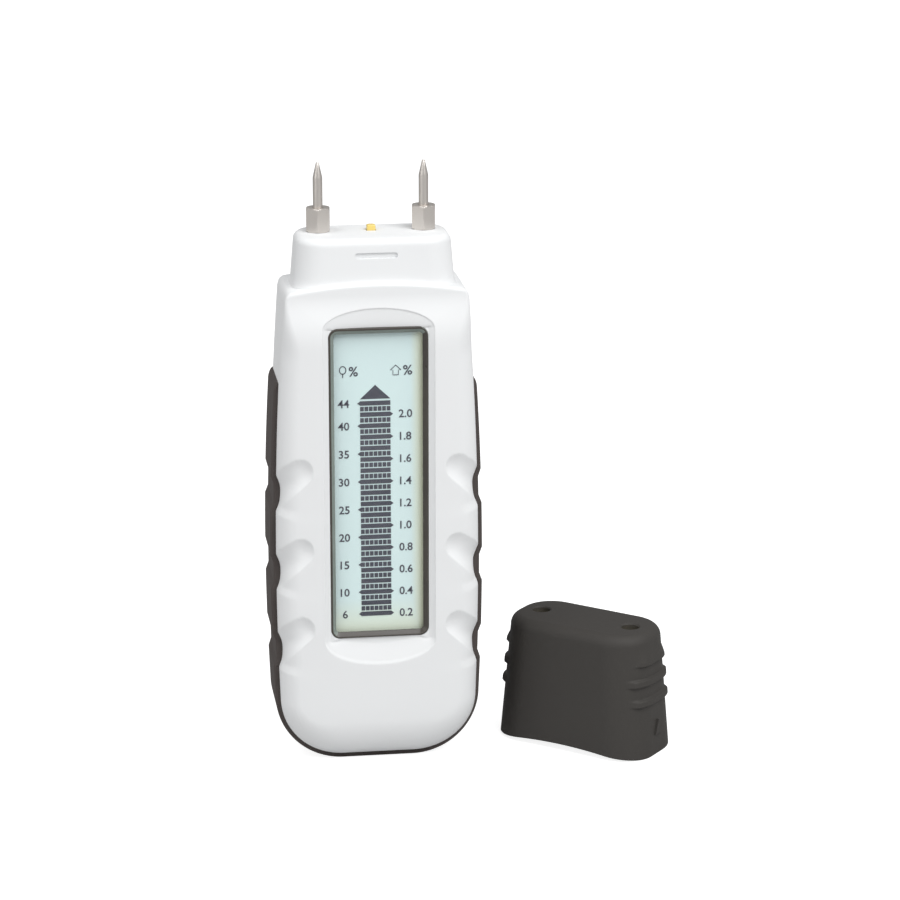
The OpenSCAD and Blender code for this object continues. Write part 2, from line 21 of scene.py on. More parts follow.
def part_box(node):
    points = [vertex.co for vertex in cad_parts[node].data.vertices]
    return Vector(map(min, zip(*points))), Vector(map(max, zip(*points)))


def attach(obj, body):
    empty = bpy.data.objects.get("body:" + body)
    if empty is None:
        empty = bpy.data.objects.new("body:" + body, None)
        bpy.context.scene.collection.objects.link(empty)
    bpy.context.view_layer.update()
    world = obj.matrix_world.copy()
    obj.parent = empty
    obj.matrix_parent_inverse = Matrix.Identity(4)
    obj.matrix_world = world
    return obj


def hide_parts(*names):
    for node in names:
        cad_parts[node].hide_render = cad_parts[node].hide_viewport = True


LOG = logging.getLogger("moisture_meter")
MM = 0.001
AXIS_R = 0.004  # stands for a radius of zero where a turned surface meets its axis
Colour = tuple[float, float, float]


# ---------- small helpers ----------


def tone(red: float, green: float, blue: float) -> Colour:
    """Turns a display colour of 0 to 255 a channel into the linear colour that shaders take."""
    shares = [value / 255.0 for value in (red, green, blue)]
    return tuple(s / 12.92 if s <= 0.04045 else ((s + 0.055) / 1.055) ** 2.4 for s in shares)


def corners(node: str) -> tuple[np.ndarray, np.ndarray]:
    """Lowest and highest corner of a CAD node, in millimetres."""
    low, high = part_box(node)
    return np.array(low) / MM, np.array(high) / MM


def smooth(share: np.ndarray) -> np.ndarray:
    """Eases values from 0 to 1 with flat ends."""
    held = np.clip(share, 0.0, 1.0)
    return held * held * (3.0 - 2.0 * held)


def arc(centre: Sequence[float], radii: Sequence[float], start: float, stop: float, count: int) -> np.ndarray:
    """Points on an ellipse's arc.

    Args:
        centre: Middle of the ellipse, two values.
        radii: Half sizes of the ellipse, two values.
        start: First angle in degrees.
        stop: Last angle in degrees.
        count: Number of points, both ends included.

    Returns:
        An array of count rows of two values.
    """
    angle = np.radians(np.linspace(start, stop, count))
    return np.stack([centre[0] + radii[0] * np.cos(angle), centre[1] + radii[1] * np.sin(angle)], axis=1)


def resample(line: np.ndarray, count: int, closed: bool = False) -> np.ndarray:
    """Spaces points evenly along a line.

    Args:
        line: Points of the line, one a row.
        count: Number of points wanted.
        closed: Whether the line runs back to its first point.

    Returns:
        An array of count rows.
    """
    path = np.vstack([line, line[:1]]) if closed else line
    lengths = np.linalg.norm(np.diff(path, axis=0), axis=1)
    along = np.concatenate([[0.0], np.cumsum(lengths)])
    places = np.linspace(0.0, along[-1], count, endpoint=not closed)
    return np.stack([np.interp(places, along, path[:, k]) for k in range(path.shape[1])], axis=1)


def outward(line: np.ndarray, closed: bool = True) -> np.ndarray:
    """Unit normals of a flat line that runs anticlockwise.

    Args:
        line: Points of the line, two values a row.
        closed: Whether the line runs back to its first point.

    Returns:
        One outward unit normal for each point.
    """
    run = np.roll(line, -1, axis=0) - np.roll(line, 1, axis=0) if closed else np.gradient(line, axis=0)
    normal = np.stack([run[:, 1], -run[:, 0]], axis=1)
    return normal / np.linalg.norm(normal, axis=1, keepdims=True)


def nearest(points: np.ndarray, line: np.ndarray) -> tuple[np.ndarray, np.ndarray]:
    """Distance from each point to the closest point of a line, and that point's index.

    Args:
        points: Grid of flat points, with two values in the last axis.
        line: Points of the line, two values a row.

    Returns:
        Two arrays shaped like the grid: distances and indices.
    """
    distances = np.empty(points.shape[:-1])
    indices = np.empty(points.shape[:-1], dtype=int)
    for row, flat in enumerate(points):
        gaps = (flat[:, None, 0] - line[None, :, 0]) ** 2 + (flat[:, None, 1] - line[None, :, 1]) ** 2
        indices[row] = gaps.argmin(axis=1)
        distances[row] = np.sqrt(gaps.min(axis=1))
    return distances, indices


def rounded_loop(
    width: float, depth: float, radius: float, turn_steps: int = 14, side_steps: int = 24,
) -> np.ndarray:
    """Anticlockwise rounded rectangle about the origin, with the same number of points at any size.

    Args:
        width: Full size across.
        depth: Full size in the other direction.
        radius: Corner radius.
        turn_steps: Points on each corner.
        side_steps: Points between two corners.

    Returns:
        Points of the closed loop, two values a row.
    """
    across, deep = width / 2 - radius, depth / 2 - radius
    centres = [(across, -deep), (across, deep), (-across, deep), (-across, -deep)]
    turns = [arc(c, (radius, radius), 90 * k - 90, 90 * k, turn_steps) for k, c in enumerate(centres)]
    rows = []
    for k, bend in enumerate(turns):
        following = turns[(k + 1) % len(turns)][0]
        rows += [bend, np.linspace(bend[-1], following, side_steps + 2)[1:-1]]
    return np.vstack(rows)


def onto_rounded(
    points: np.ndarray, centre: Sequence[float], size: Sequence[float], radius: float,
) -> np.ndarray:
    """Closest points on a rounded rectangle to points outside it.

    Args:
        points: Flat points, two values a row.
        centre: Middle of the rectangle.
        size: Full width and height.
        radius: Corner radius.

    Returns:
        One point on the rectangle's edge for each point.
    """
    reach = np.array([size[0] / 2 - radius, size[1] / 2 - radius])
    held = np.clip(points - np.array(centre), -reach, reach) + np.array(centre)
    way = points - held
    return held + radius * way / np.linalg.norm(way, axis=1, keepdims=True)


def at_depth(flat: np.ndarray, depth: np.ndarray | float) -> np.ndarray:
    """Stands flat (x, z) points up at a depth, or at one depth a point."""
    return np.stack([flat[..., 0], np.broadcast_to(depth, flat.shape[:-1]), flat[..., 1]], axis=-1)


@dataclass
class Shape:
    """Closed surfaces gathered for one piece, in millimetres."""

    points: list[np.ndarray] = field(default_factory=list)
    faces: list[tuple[int, ...]] = field(default_factory=list)
    total: int = 0

    def add(self, points: np.ndarray, faces: Iterable[Sequence[int]]) -> None:
        """Adds points and the faces that join them.

        Args:
            points: Points, three values a row.
            faces: Faces as indices into these points.
        """
        self.points.append(points)
        self.faces += [tuple(int(i) + self.total for i in face) for face in faces]
        self.total += len(points)

    def rows(self, grid: np.ndarray, joined: bool = False) -> None:
        """Adds a surface through rows of points, where each row is a closed loop.

        Args:
            grid: Points as rows by columns by three.
            joined: Whether the last row joins the first. If not, a fan closes each end.
        """
        count, around = grid.shape[:2]
        columns = np.arange(around)
        after = (columns + 1) % around
        faces: list[Sequence[int]] = []
        for row in range(count if joined else count - 1):
            low, high = row * around, ((row + 1) % count) * around
            faces += np.stack([low + columns, low + after, high + after, high + columns], axis=1).tolist()
        points = grid.reshape(-1, 3)
        if not joined:
            last, centre = (count - 1) * around, count * around
            faces += [(centre, int(b), int(a)) for a, b in zip(columns, after)]
            faces += [(centre + 1, last + int(a), last + int(b)) for a, b in zip(columns, after)]
            points = np.vstack([points, grid[0].mean(axis=0), grid[-1].mean(axis=0)])
        self.add(points, faces)

    def prism(self, outline: np.ndarray, near: float, far: float) -> None:
        """Adds a flat (x, z) outline with thickness between two depths."""
        self.rows(np.stack([at_depth(outline, near), at_depth(outline, far)]))

    def absorb(self, piece: bpy.types.Object) -> None:
        """Takes over the mesh of a piece, and removes the piece.

        Args:
            piece: The piece whose surfaces are taken over.
        """
        points = np.array([piece.matrix_world @ v.co for v in piece.data.vertices]) / MM
        self.add(points, [tuple(face.vertices) for face in piece.data.polygons])
        bpy.data.objects.remove(piece, do_unlink=True)

    def build(self, name: str, sharp_degrees: float = 35.0) -> bpy.types.Object:
        """Makes the piece as a Blender object.

        Args:
            name: Name of the piece.
            sharp_degrees: Edges that turn by more than this stay crisp.

        Returns:
            The new object, in metres.
        """
        mesh = bpy.data.meshes.new(name)
        mesh.from_pydata((np.vstack(self.points) * MM).tolist(), [], self.faces)
        finish_mesh(mesh, sharp_degrees)
        piece = bpy.data.objects.new(name, mesh)
        bpy.context.scene.collection.objects.link(piece)
        return piece


def finish_mesh(mesh: bpy.types.Mesh, sharp_degrees: float) -> None:
    """Turns a mesh's faces outwards and sets which of its edges are crisp.

    Args:
        mesh: The mesh to finish.
        sharp_degrees: Edges that turn by more than this stay crisp.
    """
    edit = bmesh.new()
    edit.from_mesh(mesh)
    bmesh.ops.recalc_face_normals(edit, faces=edit.faces)
    edit.to_mesh(mesh)
    edit.free()
    mesh.shade_smooth()
    mesh.set_sharp_from_angle(angle=math.radians(sharp_degrees))


def carve(piece: bpy.types.Object, cutters: Sequence[Shape], sharp_degrees: float = 35.0) -> bpy.types.Object:
    """Cuts shapes out of a piece.

    Args:
        piece: The piece that is cut.
        cutters: The shapes taken away.
        sharp_degrees: Edges that turn by more than this stay crisp.

    Returns:
        The same piece with its new mesh.
    """
    tools = [shape.build(f"cutter_{k}") for k, shape in enumerate(cutters)]
    for tool in tools:
        cut = piece.modifiers.new("cut", "BOOLEAN")
        cut.operation = "DIFFERENCE"
        cut.solver = "EXACT"
        cut.object = tool
    shown = piece.evaluated_get(bpy.context.evaluated_depsgraph_get())
    mesh = bpy.data.meshes.new_from_object(shown)
    piece.modifiers.clear()
    piece.data = mesh
    finish_mesh(mesh, sharp_degrees)
    for tool in tools:
        bpy.data.objects.remove(tool, do_unlink=True)
    return piece


def turned(
    profile: Sequence[Sequence[float]], centre: Sequence[float], along_y: bool = False, steps: int = 72,
) -> Shape:
    """Solid turned on a lathe, about a vertical axis or one that points backwards.

    Args:
        profile: Pairs of radius and place along the axis, from one end of the solid to the other.
        centre: The two coordinates of the axis: x and y, or x and z.
        along_y: Whether the axis points backwards.
        steps: Points round the axis.

    Returns:
        The closed shape.
    """
    loop = arc((0, 0), (1, 1), 0, 360, steps + 1)[:-1]
    rings = []
    for radius, place in profile:
        flat = loop * max(radius, AXIS_R) + np.array(centre)
        level = np.full(steps, float(place))
        rings.append(at_depth(flat, level) if along_y else np.column_stack([flat, level]))
    shape = Shape()
    shape.rows(np.array(rings))
    return shape


# ---------- finishes ----------


class Graph:
    """A shader node tree with a short way to add and join nodes."""

    def __init__(self, tree: bpy.types.NodeTree) -> None:
        """Keeps the tree that nodes are added to."""
        self.tree = tree

    def node(
        self, kind: str, inputs: dict[str | int, object] | None = None, **settings: object,
    ) -> bpy.types.Node:
        """Adds a node.

        Args:
            kind: Blender's name of the node type.
            inputs: Values or output sockets for its inputs, by name or number.
            **settings: Attributes of the node.

        Returns:
            The new node.
        """
        made = self.tree.nodes.new(kind)
        for name, value in settings.items():
            setattr(made, name, value)
        for key, value in (inputs or {}).items():
            if isinstance(value, bpy.types.NodeSocket):
                self.tree.links.new(value, made.inputs[key])
            else:
                made.inputs[key].default_value = value
        return made

    def math(self, operation: str, first: object, second: object = 0.0) -> bpy.types.NodeSocket:
        """Adds a Math node and gives its result."""
        return self.node("ShaderNodeMath", {0: first, 1: second}, operation=operation).outputs[0]

    def blend(self, share: object, first: object, second: object) -> bpy.types.NodeSocket:
        """Adds a colour Mix node and gives its result."""
        made = self.node("ShaderNodeMix", {0: share, 6: first, 7: second}, data_type="RGBA")
        return made.outputs[2]

    def spread(
        self, value: object, low: float, high: float, to_low: float, to_high: float,
    ) -> bpy.types.NodeSocket:
        """Adds a Map Range node and gives its result."""
        return self.node("ShaderNodeMapRange", {0: value, 1: low, 2: high, 3: to_low, 4: to_high}).outputs[0]


class Effect(Enum):
    """Shader node groups that several finishes share."""

    GRAIN = "surface_grain"
    WEAR = "edge_wear"
    DUST = "settled_dust"


def open_group(effect: Effect, inputs: dict[str, str], outputs: dict[str, str]) -> tuple[Graph, dict, dict]:
    """Starts a shader node group.

    Args:
        effect: Which group it is.
        inputs: Socket types of the inputs, by name.
        outputs: Socket types of the outputs, by name.

    Returns:
        The group's graph, its input sockets by name, and its output sockets by name.
    """
    tree = bpy.data.node_groups.new(effect.value, "ShaderNodeTree")
    for name, kind in inputs.items():
        tree.interface.new_socket(name=name, in_out="INPUT", socket_type=kind)
    for name, kind in outputs.items():
        tree.interface.new_socket(name=name, in_out="OUTPUT", socket_type=kind)
    graph = Graph(tree)
    entry, leave = graph.node("NodeGroupInput"), graph.node("NodeGroupOutput")
    return graph, {n: entry.outputs[n] for n in inputs}, {n: leave.inputs[n] for n in outputs}


def build_grain() -> bpy.types.NodeTree:
    """Fine surface grain with a slow cloudiness, in the piece's own coordinates.

    Returns:
        The node group, which puts out a height and a slow cloud.
    """
    graph, given, out = open_group(
        Effect.GRAIN,
        {"Scale": "NodeSocketFloat", "Stretch": "NodeSocketVector"},
        {"Height": "NodeSocketFloat", "Cloud": "NodeSocketFloat"},
    )
    place = graph.node("ShaderNodeTexCoord").outputs["Object"]
    pulled = graph.node("ShaderNodeVectorMath", {0: place, 1: given["Stretch"]}, operation="MULTIPLY")
    fine = graph.node(
        "ShaderNodeTexNoise", {"Vector": pulled.outputs[0], "Scale": given["Scale"], "Detail": 3.0})
    slow = graph.node("ShaderNodeTexNoise", {"Vector": place, "Scale": 70.0, "Detail": 4.0, "Roughness": 0.6})
    graph.tree.links.new(fine.outputs[0], out["Height"])
    graph.tree.links.new(slow.outputs[0], out["Cloud"])
    return graph.tree


def build_wear() -> bpy.types.NodeTree:
    """Paler or brighter patches where edges have been rubbed.

    Returns:
        The node group, which puts out the worn colour and where it is worn.
    """
    graph, given, out = open_group(
        Effect.WEAR,
        {"Surface": "NodeSocketColor", "Rubbed": "NodeSocketColor", "Amount": "NodeSocketFloat"},
        {"Color": "NodeSocketColor", "Mask": "NodeSocketFloat"},
    )
    place = graph.node("ShaderNodeTexCoord").outputs["Object"]
    edge = graph.spread(graph.node("ShaderNodeNewGeometry").outputs["Pointiness"], 0.52, 0.6, 0.0, 1.0)
    patch = graph.node("ShaderNodeTexNoise", {"Vector": place, "Scale": 420.0, "Detail": 5.0})
    broken = graph.spread(patch.outputs[0], 0.4, 0.62, 0.0, 1.0)
    mask = graph.math("MULTIPLY", graph.math("MULTIPLY", edge, broken), given["Amount"])
    graph.tree.links.new(graph.blend(mask, given["Surface"], given["Rubbed"]), out["Color"])
    graph.tree.links.new(mask, out["Mask"])
    return graph.tree


def build_dust() -> bpy.types.NodeTree:
    """A thin film of dust that settles on faces that look up.

    Returns:
        The node group, which puts out the dusted colour and where the dust lies.
    """
    graph, given, out = open_group(
        Effect.DUST,
        {"Surface": "NodeSocketColor", "Dust": "NodeSocketColor", "Amount": "NodeSocketFloat"},
        {"Color": "NodeSocketColor", "Mask": "NodeSocketFloat"},
    )
    place = graph.node("ShaderNodeTexCoord").outputs["Object"]
    facing = graph.node("ShaderNodeSeparateXYZ", {0: graph.node("ShaderNodeNewGeometry").outputs["Normal"]})
    speck = graph.node(
        "ShaderNodeTexNoise", {"Vector": place, "Scale": 1100.0, "Detail": 6.0, "Roughness": 0.7})
    lying = graph.spread(facing.outputs["Z"], 0.0, 1.0, 0.25, 1.0)
    broken = graph.spread(speck.outputs[0], 0.45, 0.75, 0.0, 1.0)
    mask = graph.math("MULTIPLY", graph.math("MULTIPLY", lying, broken), given["Amount"])
    graph.tree.links.new(graph.blend(mask, given["Surface"], given["Dust"]), out["Color"])
    graph.tree.links.new(mask, out["Mask"])
    return graph.tree


EFFECT_MAKERS = {Effect.GRAIN: build_grain, Effect.WEAR: build_wear, Effect.DUST: build_dust}


def effect_tree(effect: Effect) -> bpy.types.NodeTree:
    """The shared group of an effect, built the first time that it is asked for."""
    return bpy.data.node_groups.get(effect.value) or EFFECT_MAKERS[effect]()


@dataclass(frozen=True)
class Finish:
    """An opaque finish: its colours, gloss, grain, rubbed edges and dust."""

    name: str
    colour: Colour
    cloud_colour: Colour
    roughness: float
    roughness_spread: float = 0.08
    grain_size: float = 0.5
    grain_depth: float = 0.01
    rubbed: Colour = (0.8, 0.8, 0.8)
    wear: float = 0.0
    dust: float = 0.0
    metallic: float = 0.0
    coat: float = 0.0
    stretch: tuple[float, float, float] = (1.0, 1.0, 1.0)

    def material(self) -> bpy.types.Material:
        """Builds the finish as a material, or gives the one built before.

        Returns:
            The material.
        """
        made = bpy.data.materials.get(self.name)
        if made is not None:
            return made
        made = bpy.data.materials.new(self.name)
        made.use_nodes = True
        made.node_tree.nodes.clear()
        graph = Graph(made.node_tree)
        grain = place_group(
            graph, Effect.GRAIN, {"Scale": 1.0 / (self.grain_size * MM), "Stretch": self.stretch})
        cloud = grain.outputs["Cloud"]
        colour = self.ground(graph, cloud)
        worn = place_group(
            graph, Effect.WEAR, {"Surface": colour, "Rubbed": (*self.rubbed, 1), "Amount": self.wear})
        dusty = place_group(
            graph, Effect.DUST,
            {"Surface": worn.outputs["Color"], "Dust": (*tone(196, 190, 180), 1), "Amount": self.dust},
        )
        smoothest, roughest = self.roughness - self.roughness_spread, self.roughness + self.roughness_spread
        gloss = graph.spread(cloud, 0.3, 0.7, smoothest, roughest)
        gloss = graph.math("ADD", gloss, graph.math("MULTIPLY", dusty.outputs["Mask"], 0.3))
        bump = graph.node(
            "ShaderNodeBump",
            {"Height": grain.outputs["Height"], "Strength": 1.0, "Distance": self.grain_depth * MM},
        )
        shader = graph.node("ShaderNodeBsdfPrincipled", {
            "Base Color": dusty.outputs["Color"], "Roughness": gloss, "Normal": bump.outputs[0],
            "Metallic": self.metallic, "Coat Weight": self.coat, "Coat Roughness": 0.12,
        })
        graph.node("ShaderNodeOutputMaterial", {"Surface": shader.outputs[0]})
        return made

    def ground(self, graph: Graph, cloud: bpy.types.NodeSocket) -> bpy.types.NodeSocket:
        """The colour before wear and dust: two near tones that drift into each other."""
        share = graph.spread(cloud, 0.35, 0.65, 0.0, 1.0)
        return graph.blend(share, (*self.colour, 1), (*self.cloud_colour, 1))


def place_group(graph: Graph, effect: Effect, inputs: dict[str | int, object]) -> bpy.types.Node:
    """Adds a shared group to a graph.

    Args:
        graph: The material's graph.
        effect: Which group.
        inputs: Values or sockets for its inputs.

    Returns:
        The group node.
    """
    return graph.node("ShaderNodeGroup", inputs, node_tree=effect_tree(effect))


@dataclass(frozen=True)
class DisplayGround(Finish):
    """The display's pale ground, warmer towards one side and the lower end."""

    edge_colour: Colour = (0.7, 0.7, 0.5)
    middle_z: float = 65.0
    half_width: float = 9.5
    half_height: float = 33.5

    def ground(self, graph: Graph, cloud: bpy.types.NodeSocket) -> bpy.types.NodeSocket:
        """Two near tones, tinted where light bleeds in along the right side and the lower end.

        Args:
            graph: The material's graph.
            cloud: The slow noise.

        Returns:
            The colour socket.
        """
        plain = super().ground(graph, cloud)
        place = graph.node("ShaderNodeSeparateXYZ", {0: graph.node("ShaderNodeTexCoord").outputs["Object"]})
        side = graph.spread(place.outputs["X"], self.half_width * 0.75 * MM, self.half_width * MM, 0.0, 1.0)
        low_z = self.middle_z - self.half_height
        lower = graph.spread(place.outputs["Z"], (low_z + 7.0) * MM, low_z * MM, 0.0, 0.7)
        return graph.blend(graph.math("MAXIMUM", side, lower), plain, (*self.edge_colour, 1))


@dataclass(frozen=True)
class ClearFinish:
    """Clear moulded plastic that lets light through to what lies behind it."""

    name: str
    tint: Colour
    roughness: float
    ior: float

    def material(self) -> bpy.types.Material:
        """Builds the clear finish, with faint smears in its gloss.

        Returns:
            The material.
        """
        made = bpy.data.materials.new(self.name)
        made.use_nodes = True
        made.node_tree.nodes.clear()
        graph = Graph(made.node_tree)
        grain = place_group(graph, Effect.GRAIN, {"Scale": 160.0, "Stretch": (1.0, 1.0, 0.3)})
        gloss = graph.spread(grain.outputs["Height"], 0.4, 0.7, self.roughness, self.roughness + 0.04)
        bump = graph.node(
            "ShaderNodeBump", {"Height": grain.outputs["Height"], "Strength": 1.0, "Distance": 0.002 * MM})
        colour = graph.blend(grain.outputs["Cloud"], (*self.tint, 1), (1.0, 1.0, 1.0, 1.0))
        shader = graph.node("ShaderNodeBsdfPrincipled", {
            "Base Color": colour, "Roughness": gloss, "Normal": bump.outputs[0],
            "IOR": self.ior, "Transmission Weight": 1.0,
        })
        through = graph.node("ShaderNodeBsdfTransparent")
        path = graph.node("ShaderNodeLightPath")
        share = graph.math("MAXIMUM", path.outputs["Is Shadow Ray"], path.outputs["Is Diffuse Ray"])
        mixed = graph.node("ShaderNodeMixShader", {0: share, 1: shader.outputs[0], 2: through.outputs[0]})
        graph.node("ShaderNodeOutputMaterial", {"Surface": mixed.outputs[0]})
        return made


WHITE_CASE = Finish("white_case", tone(198, 201, 205), tone(203, 206, 211), 0.42, 0.05, 0.28, 0.006,
                    tone(240, 240, 240), 0.15, 0.03)
GRIP_RUBBER = Finish("grip_rubber", tone(50, 44, 40), tone(58, 51, 47), 0.5, 0.07, 0.22, 0.02,
                     tone(120, 112, 106), 0.35, 0.06)
CAP_PLASTIC = Finish("cap_plastic", tone(26, 25, 21), tone(36, 34, 30), 0.3, 0.05, 0.25, 0.012,
                     tone(104, 98, 90), 0.4, 0.03)
FRAME_PLASTIC = Finish("frame_plastic", tone(62, 58, 54), tone(72, 68, 62), 0.3, 0.05, 0.4, 0.004,
                       tone(110, 106, 98), 0.2)
# Paler copy of the frame plastic for the inner slope faces that turn right or down: a painted reflection of
# the key light and the floor, not a second plastic.
FRAME_PAINTED_REFLECTION = Finish("frame_painted_reflection", tone(122, 132, 126), tone(136, 146, 140), 0.35, 0.05, 0.4, 0.004,
                     tone(150, 156, 150), 0.2)
DISPLAY_GROUND = DisplayGround("display_ground", tone(228, 246, 247), tone(223, 242, 243), 0.5, 0.05, 0.3,
                               0.002, edge_colour=tone(238, 242, 216))
DISPLAY_INK = Finish("display_ink", tone(72, 72, 84), tone(84, 84, 94), 0.5, 0.05, 0.2, 0.002)
NEEDLE_STEEL = Finish("needle_steel", tone(126, 120, 114), tone(124, 118, 112), 0.2, 0.05, 0.12, 0.004,
                      tone(225, 222, 218), 0.4, metallic=1.0, stretch=(1.0, 1.0, 8.0))
COLLAR_NICKEL = Finish("collar_nickel", tone(156, 142, 131), tone(150, 120, 98), 0.16, 0.05, 0.3, 0.004,
                       tone(232, 214, 196), 0.6, metallic=1.0)
PLUNGER_YELLOW = Finish("plunger_yellow", tone(238, 208, 96), tone(228, 194, 78), 0.4, 0.06, 0.2, 0.006,
                        tone(246, 230, 160), 0.4)
DOOR_PLASTIC = Finish("door_plastic", tone(220, 223, 227), tone(214, 218, 222), 0.45, 0.05, 0.28, 0.01,
                      tone(240, 240, 240), 0.3, 0.04)
SCREW_STEEL = Finish("screw_steel", tone(150, 150, 152), tone(122, 122, 126), 0.34, 0.1, 0.3, 0.006,
                     tone(205, 205, 205), 0.5, metallic=1.0)
SPRING_STEEL = Finish("spring_steel", tone(160, 160, 164), tone(134, 134, 140), 0.28, 0.08, 0.2, 0.004,
                      metallic=1.0)
BRASS = Finish("contact_brass", tone(196, 164, 92), tone(170, 136, 70), 0.3, 0.1, 0.3, 0.006,
               tone(232, 206, 140), 0.5, metallic=1.0)
NICKEL = Finish("contact_nickel", tone(184, 178, 166), tone(158, 152, 142), 0.3, 0.08, 0.3, 0.006,
                metallic=1.0)
GOLD = Finish("contact_gold", tone(214, 176, 96), tone(190, 150, 74), 0.25, 0.08, 0.3, 0.005, metallic=1.0)
CELL_STEEL = Finish("cell_steel", tone(186, 188, 192), tone(158, 160, 166), 0.24, 0.07, 0.4, 0.005,
                    metallic=1.0)
CIRCUIT_BOARD = Finish("circuit_board", tone(22, 92, 46), tone(14, 72, 34), 0.4, 0.1, 1.2, 0.02,
                       tone(160, 150, 90), 0.3, coat=0.4)
BLACK_EPOXY = Finish("black_epoxy", tone(28, 28, 30), tone(38, 38, 40), 0.55, 0.08, 0.2, 0.012)
COMPONENT_BODY = Finish("component_body", tone(150, 132, 104), tone(120, 104, 80), 0.5, 0.1, 0.3, 0.01)
CRYSTAL_CAN = Finish("crystal_can", tone(188, 190, 194), tone(160, 162, 168), 0.25, 0.08, 0.5, 0.006,
                     metallic=1.0)
HOLDER_PLASTIC = Finish("holder_plastic", tone(214, 214, 206), tone(202, 202, 194), 0.5, 0.06, 0.3, 0.01)
LIGHT_GUIDE = Finish("light_guide", tone(232, 236, 226), tone(224, 230, 218), 0.35, 0.06, 0.4, 0.004)
ELASTOMER = Finish("elastomer", tone(196, 120, 128), tone(176, 104, 114), 0.6, 0.06, 0.2, 0.01)
SEAL_RUBBER = Finish("seal_rubber", tone(34, 34, 34), tone(46, 45, 44), 0.6, 0.06, 0.3, 0.01)
FOAM_PAD = Finish("foam_pad", tone(74, 74, 78), tone(58, 58, 62), 0.9, 0.05, 0.4, 0.08)
CLEAR_WINDOW = ClearFinish("clear_window", tone(244, 250, 248), 0.02, 1.2)


def dress(piece: bpy.types.Object, material: bpy.types.Material) -> None:
    """Gives a piece one material and nothing else."""
    piece.data.materials.clear()
    piece.data.materials.append(material)


def place(
    piece: bpy.types.Object, body: str, slot: str, finish: Finish | None, nodes: Sequence[str] = (),
) -> None:
    """Dresses a finished piece and fixes it to the model.

    Args:
        piece: The piece.
        body: The body that it rides on.
        slot: Name of a material slot; not used.
        finish: Its finish, or None if it is dressed already.
        nodes: The CAD nodes that it stands for.
    """
    if finish is not None:
        dress(piece, finish.material())
    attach(piece, body)
    if nodes:
        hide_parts(*nodes)
    LOG.info("%s: %d faces on body %s", piece.name, len(piece.data.polygons), body)


# ---------- body ----------


@dataclass
class BodyForm:
    """The lines that the two cases and the grip share, seen from the front."""

    belly_z: float = 45.0
    case_half: float = 22.3
    case_span: float = 40.0
    grip_span: float = 36.0
    grip_t: float = 1.2
    foot_r: float = 15.0
    shoulder_z: float = 107.8
    shoulder_rise: float = 1.6
    shoulder_r: float = 1.6
    parting_y: float = -4.3
    notch_depth: float = 0.65
    notch_in: float = 2.1
    notch_out: float = 3.9
    notch_pitch: float = 18.0
    notch_middle_z: float = 44.2
    grip_top_z: float = 87.0
    mid_z: float = 54.0

    @property
    def notch_zs(self) -> list[float]:
        """Heights of the three finger notches."""
        return [self.notch_middle_z + k * self.notch_pitch for k in (-1, 0, 1)]

    @property
    def foot_x(self) -> float:
        """Where the flat foot ends and the lower corner begins."""
        return self.grip_width(np.array(self.foot_r)) - self.foot_r

    def case_width(self, z: np.ndarray) -> np.ndarray:
        """Half width of the cases at a height, without notches."""
        return self.case_half - ((z - self.belly_z) / self.case_span) ** 2

    def grip_width(self, z: np.ndarray) -> np.ndarray:
        """Half width over the grip at a height, without notches."""
        return self.case_half + self.grip_t - ((z - self.belly_z) / self.grip_span) ** 2

    def notch(self, z: np.ndarray) -> np.ndarray:
        """Depth of the finger notches at a height.

        Args:
            z: Heights on the side.

        Returns:
            The depth at each height.
        """
        run = self.notch_out - self.notch_in
        slopes = [np.clip((self.notch_out - np.abs(z - k)) / run, 0, 1) for k in self.notch_zs]
        return self.notch_depth * np.max(slopes, axis=0)

    def ledge(self, x: np.ndarray) -> np.ndarray:
        """Height of the crowned shoulder at a place across."""
        flat_half = float(self.case_width(np.array(self.shoulder_z))) - self.shoulder_r
        return self.shoulder_z + self.shoulder_rise * (1 - np.clip(np.abs(x) / flat_half, 0, 1) ** 2)

    def case_loop(self, count: int) -> np.ndarray:
        """Outline of the cases, anticlockwise from the middle of the foot.

        Args:
            count: Number of points.

        Returns:
            Points as (x, z) rows.
        """
        corner_half = float(self.case_width(np.array(self.foot_r))) - self.foot_x
        corner = arc((self.foot_x, self.foot_r), (corner_half, self.foot_r - self.grip_t), -90, 0, 60)
        z = np.linspace(self.foot_r, self.shoulder_z - self.shoulder_r, 500)
        side = np.stack([self.case_width(z) - self.notch(z), z], axis=1)
        top = float(self.case_width(np.array(self.shoulder_z)))
        bend_middle = (top - self.shoulder_r, self.shoulder_z - self.shoulder_r)
        bend = arc(bend_middle, (self.shoulder_r, self.shoulder_r), 0, 82, 20)
        x = np.linspace(top - self.shoulder_r - 0.2, 0, 80)
        crown = np.stack([x, self.ledge(x)], axis=1)
        half = np.vstack([[[0, self.grip_t]], corner, side[1:], bend[1:], crown])
        mirrored = half[-2:0:-1] * np.array([-1, 1])
        return resample(np.vstack([half, mirrored]), count, closed=True)

    def drawn_in(self, loop: np.ndarray, inset: float) -> np.ndarray:
        """The outline drawn in by about an inset, as the hollow inside the cases is.

        Args:
            loop: The outline of the cases.
            inset: How far it is drawn in at the widest place.

        Returns:
            The smaller outline, with the same number of points.
        """
        scale = np.array([1 - inset / self.case_half, 1 - inset / self.mid_z])
        middle = np.array([0, self.mid_z])
        return middle + (loop - middle) * scale


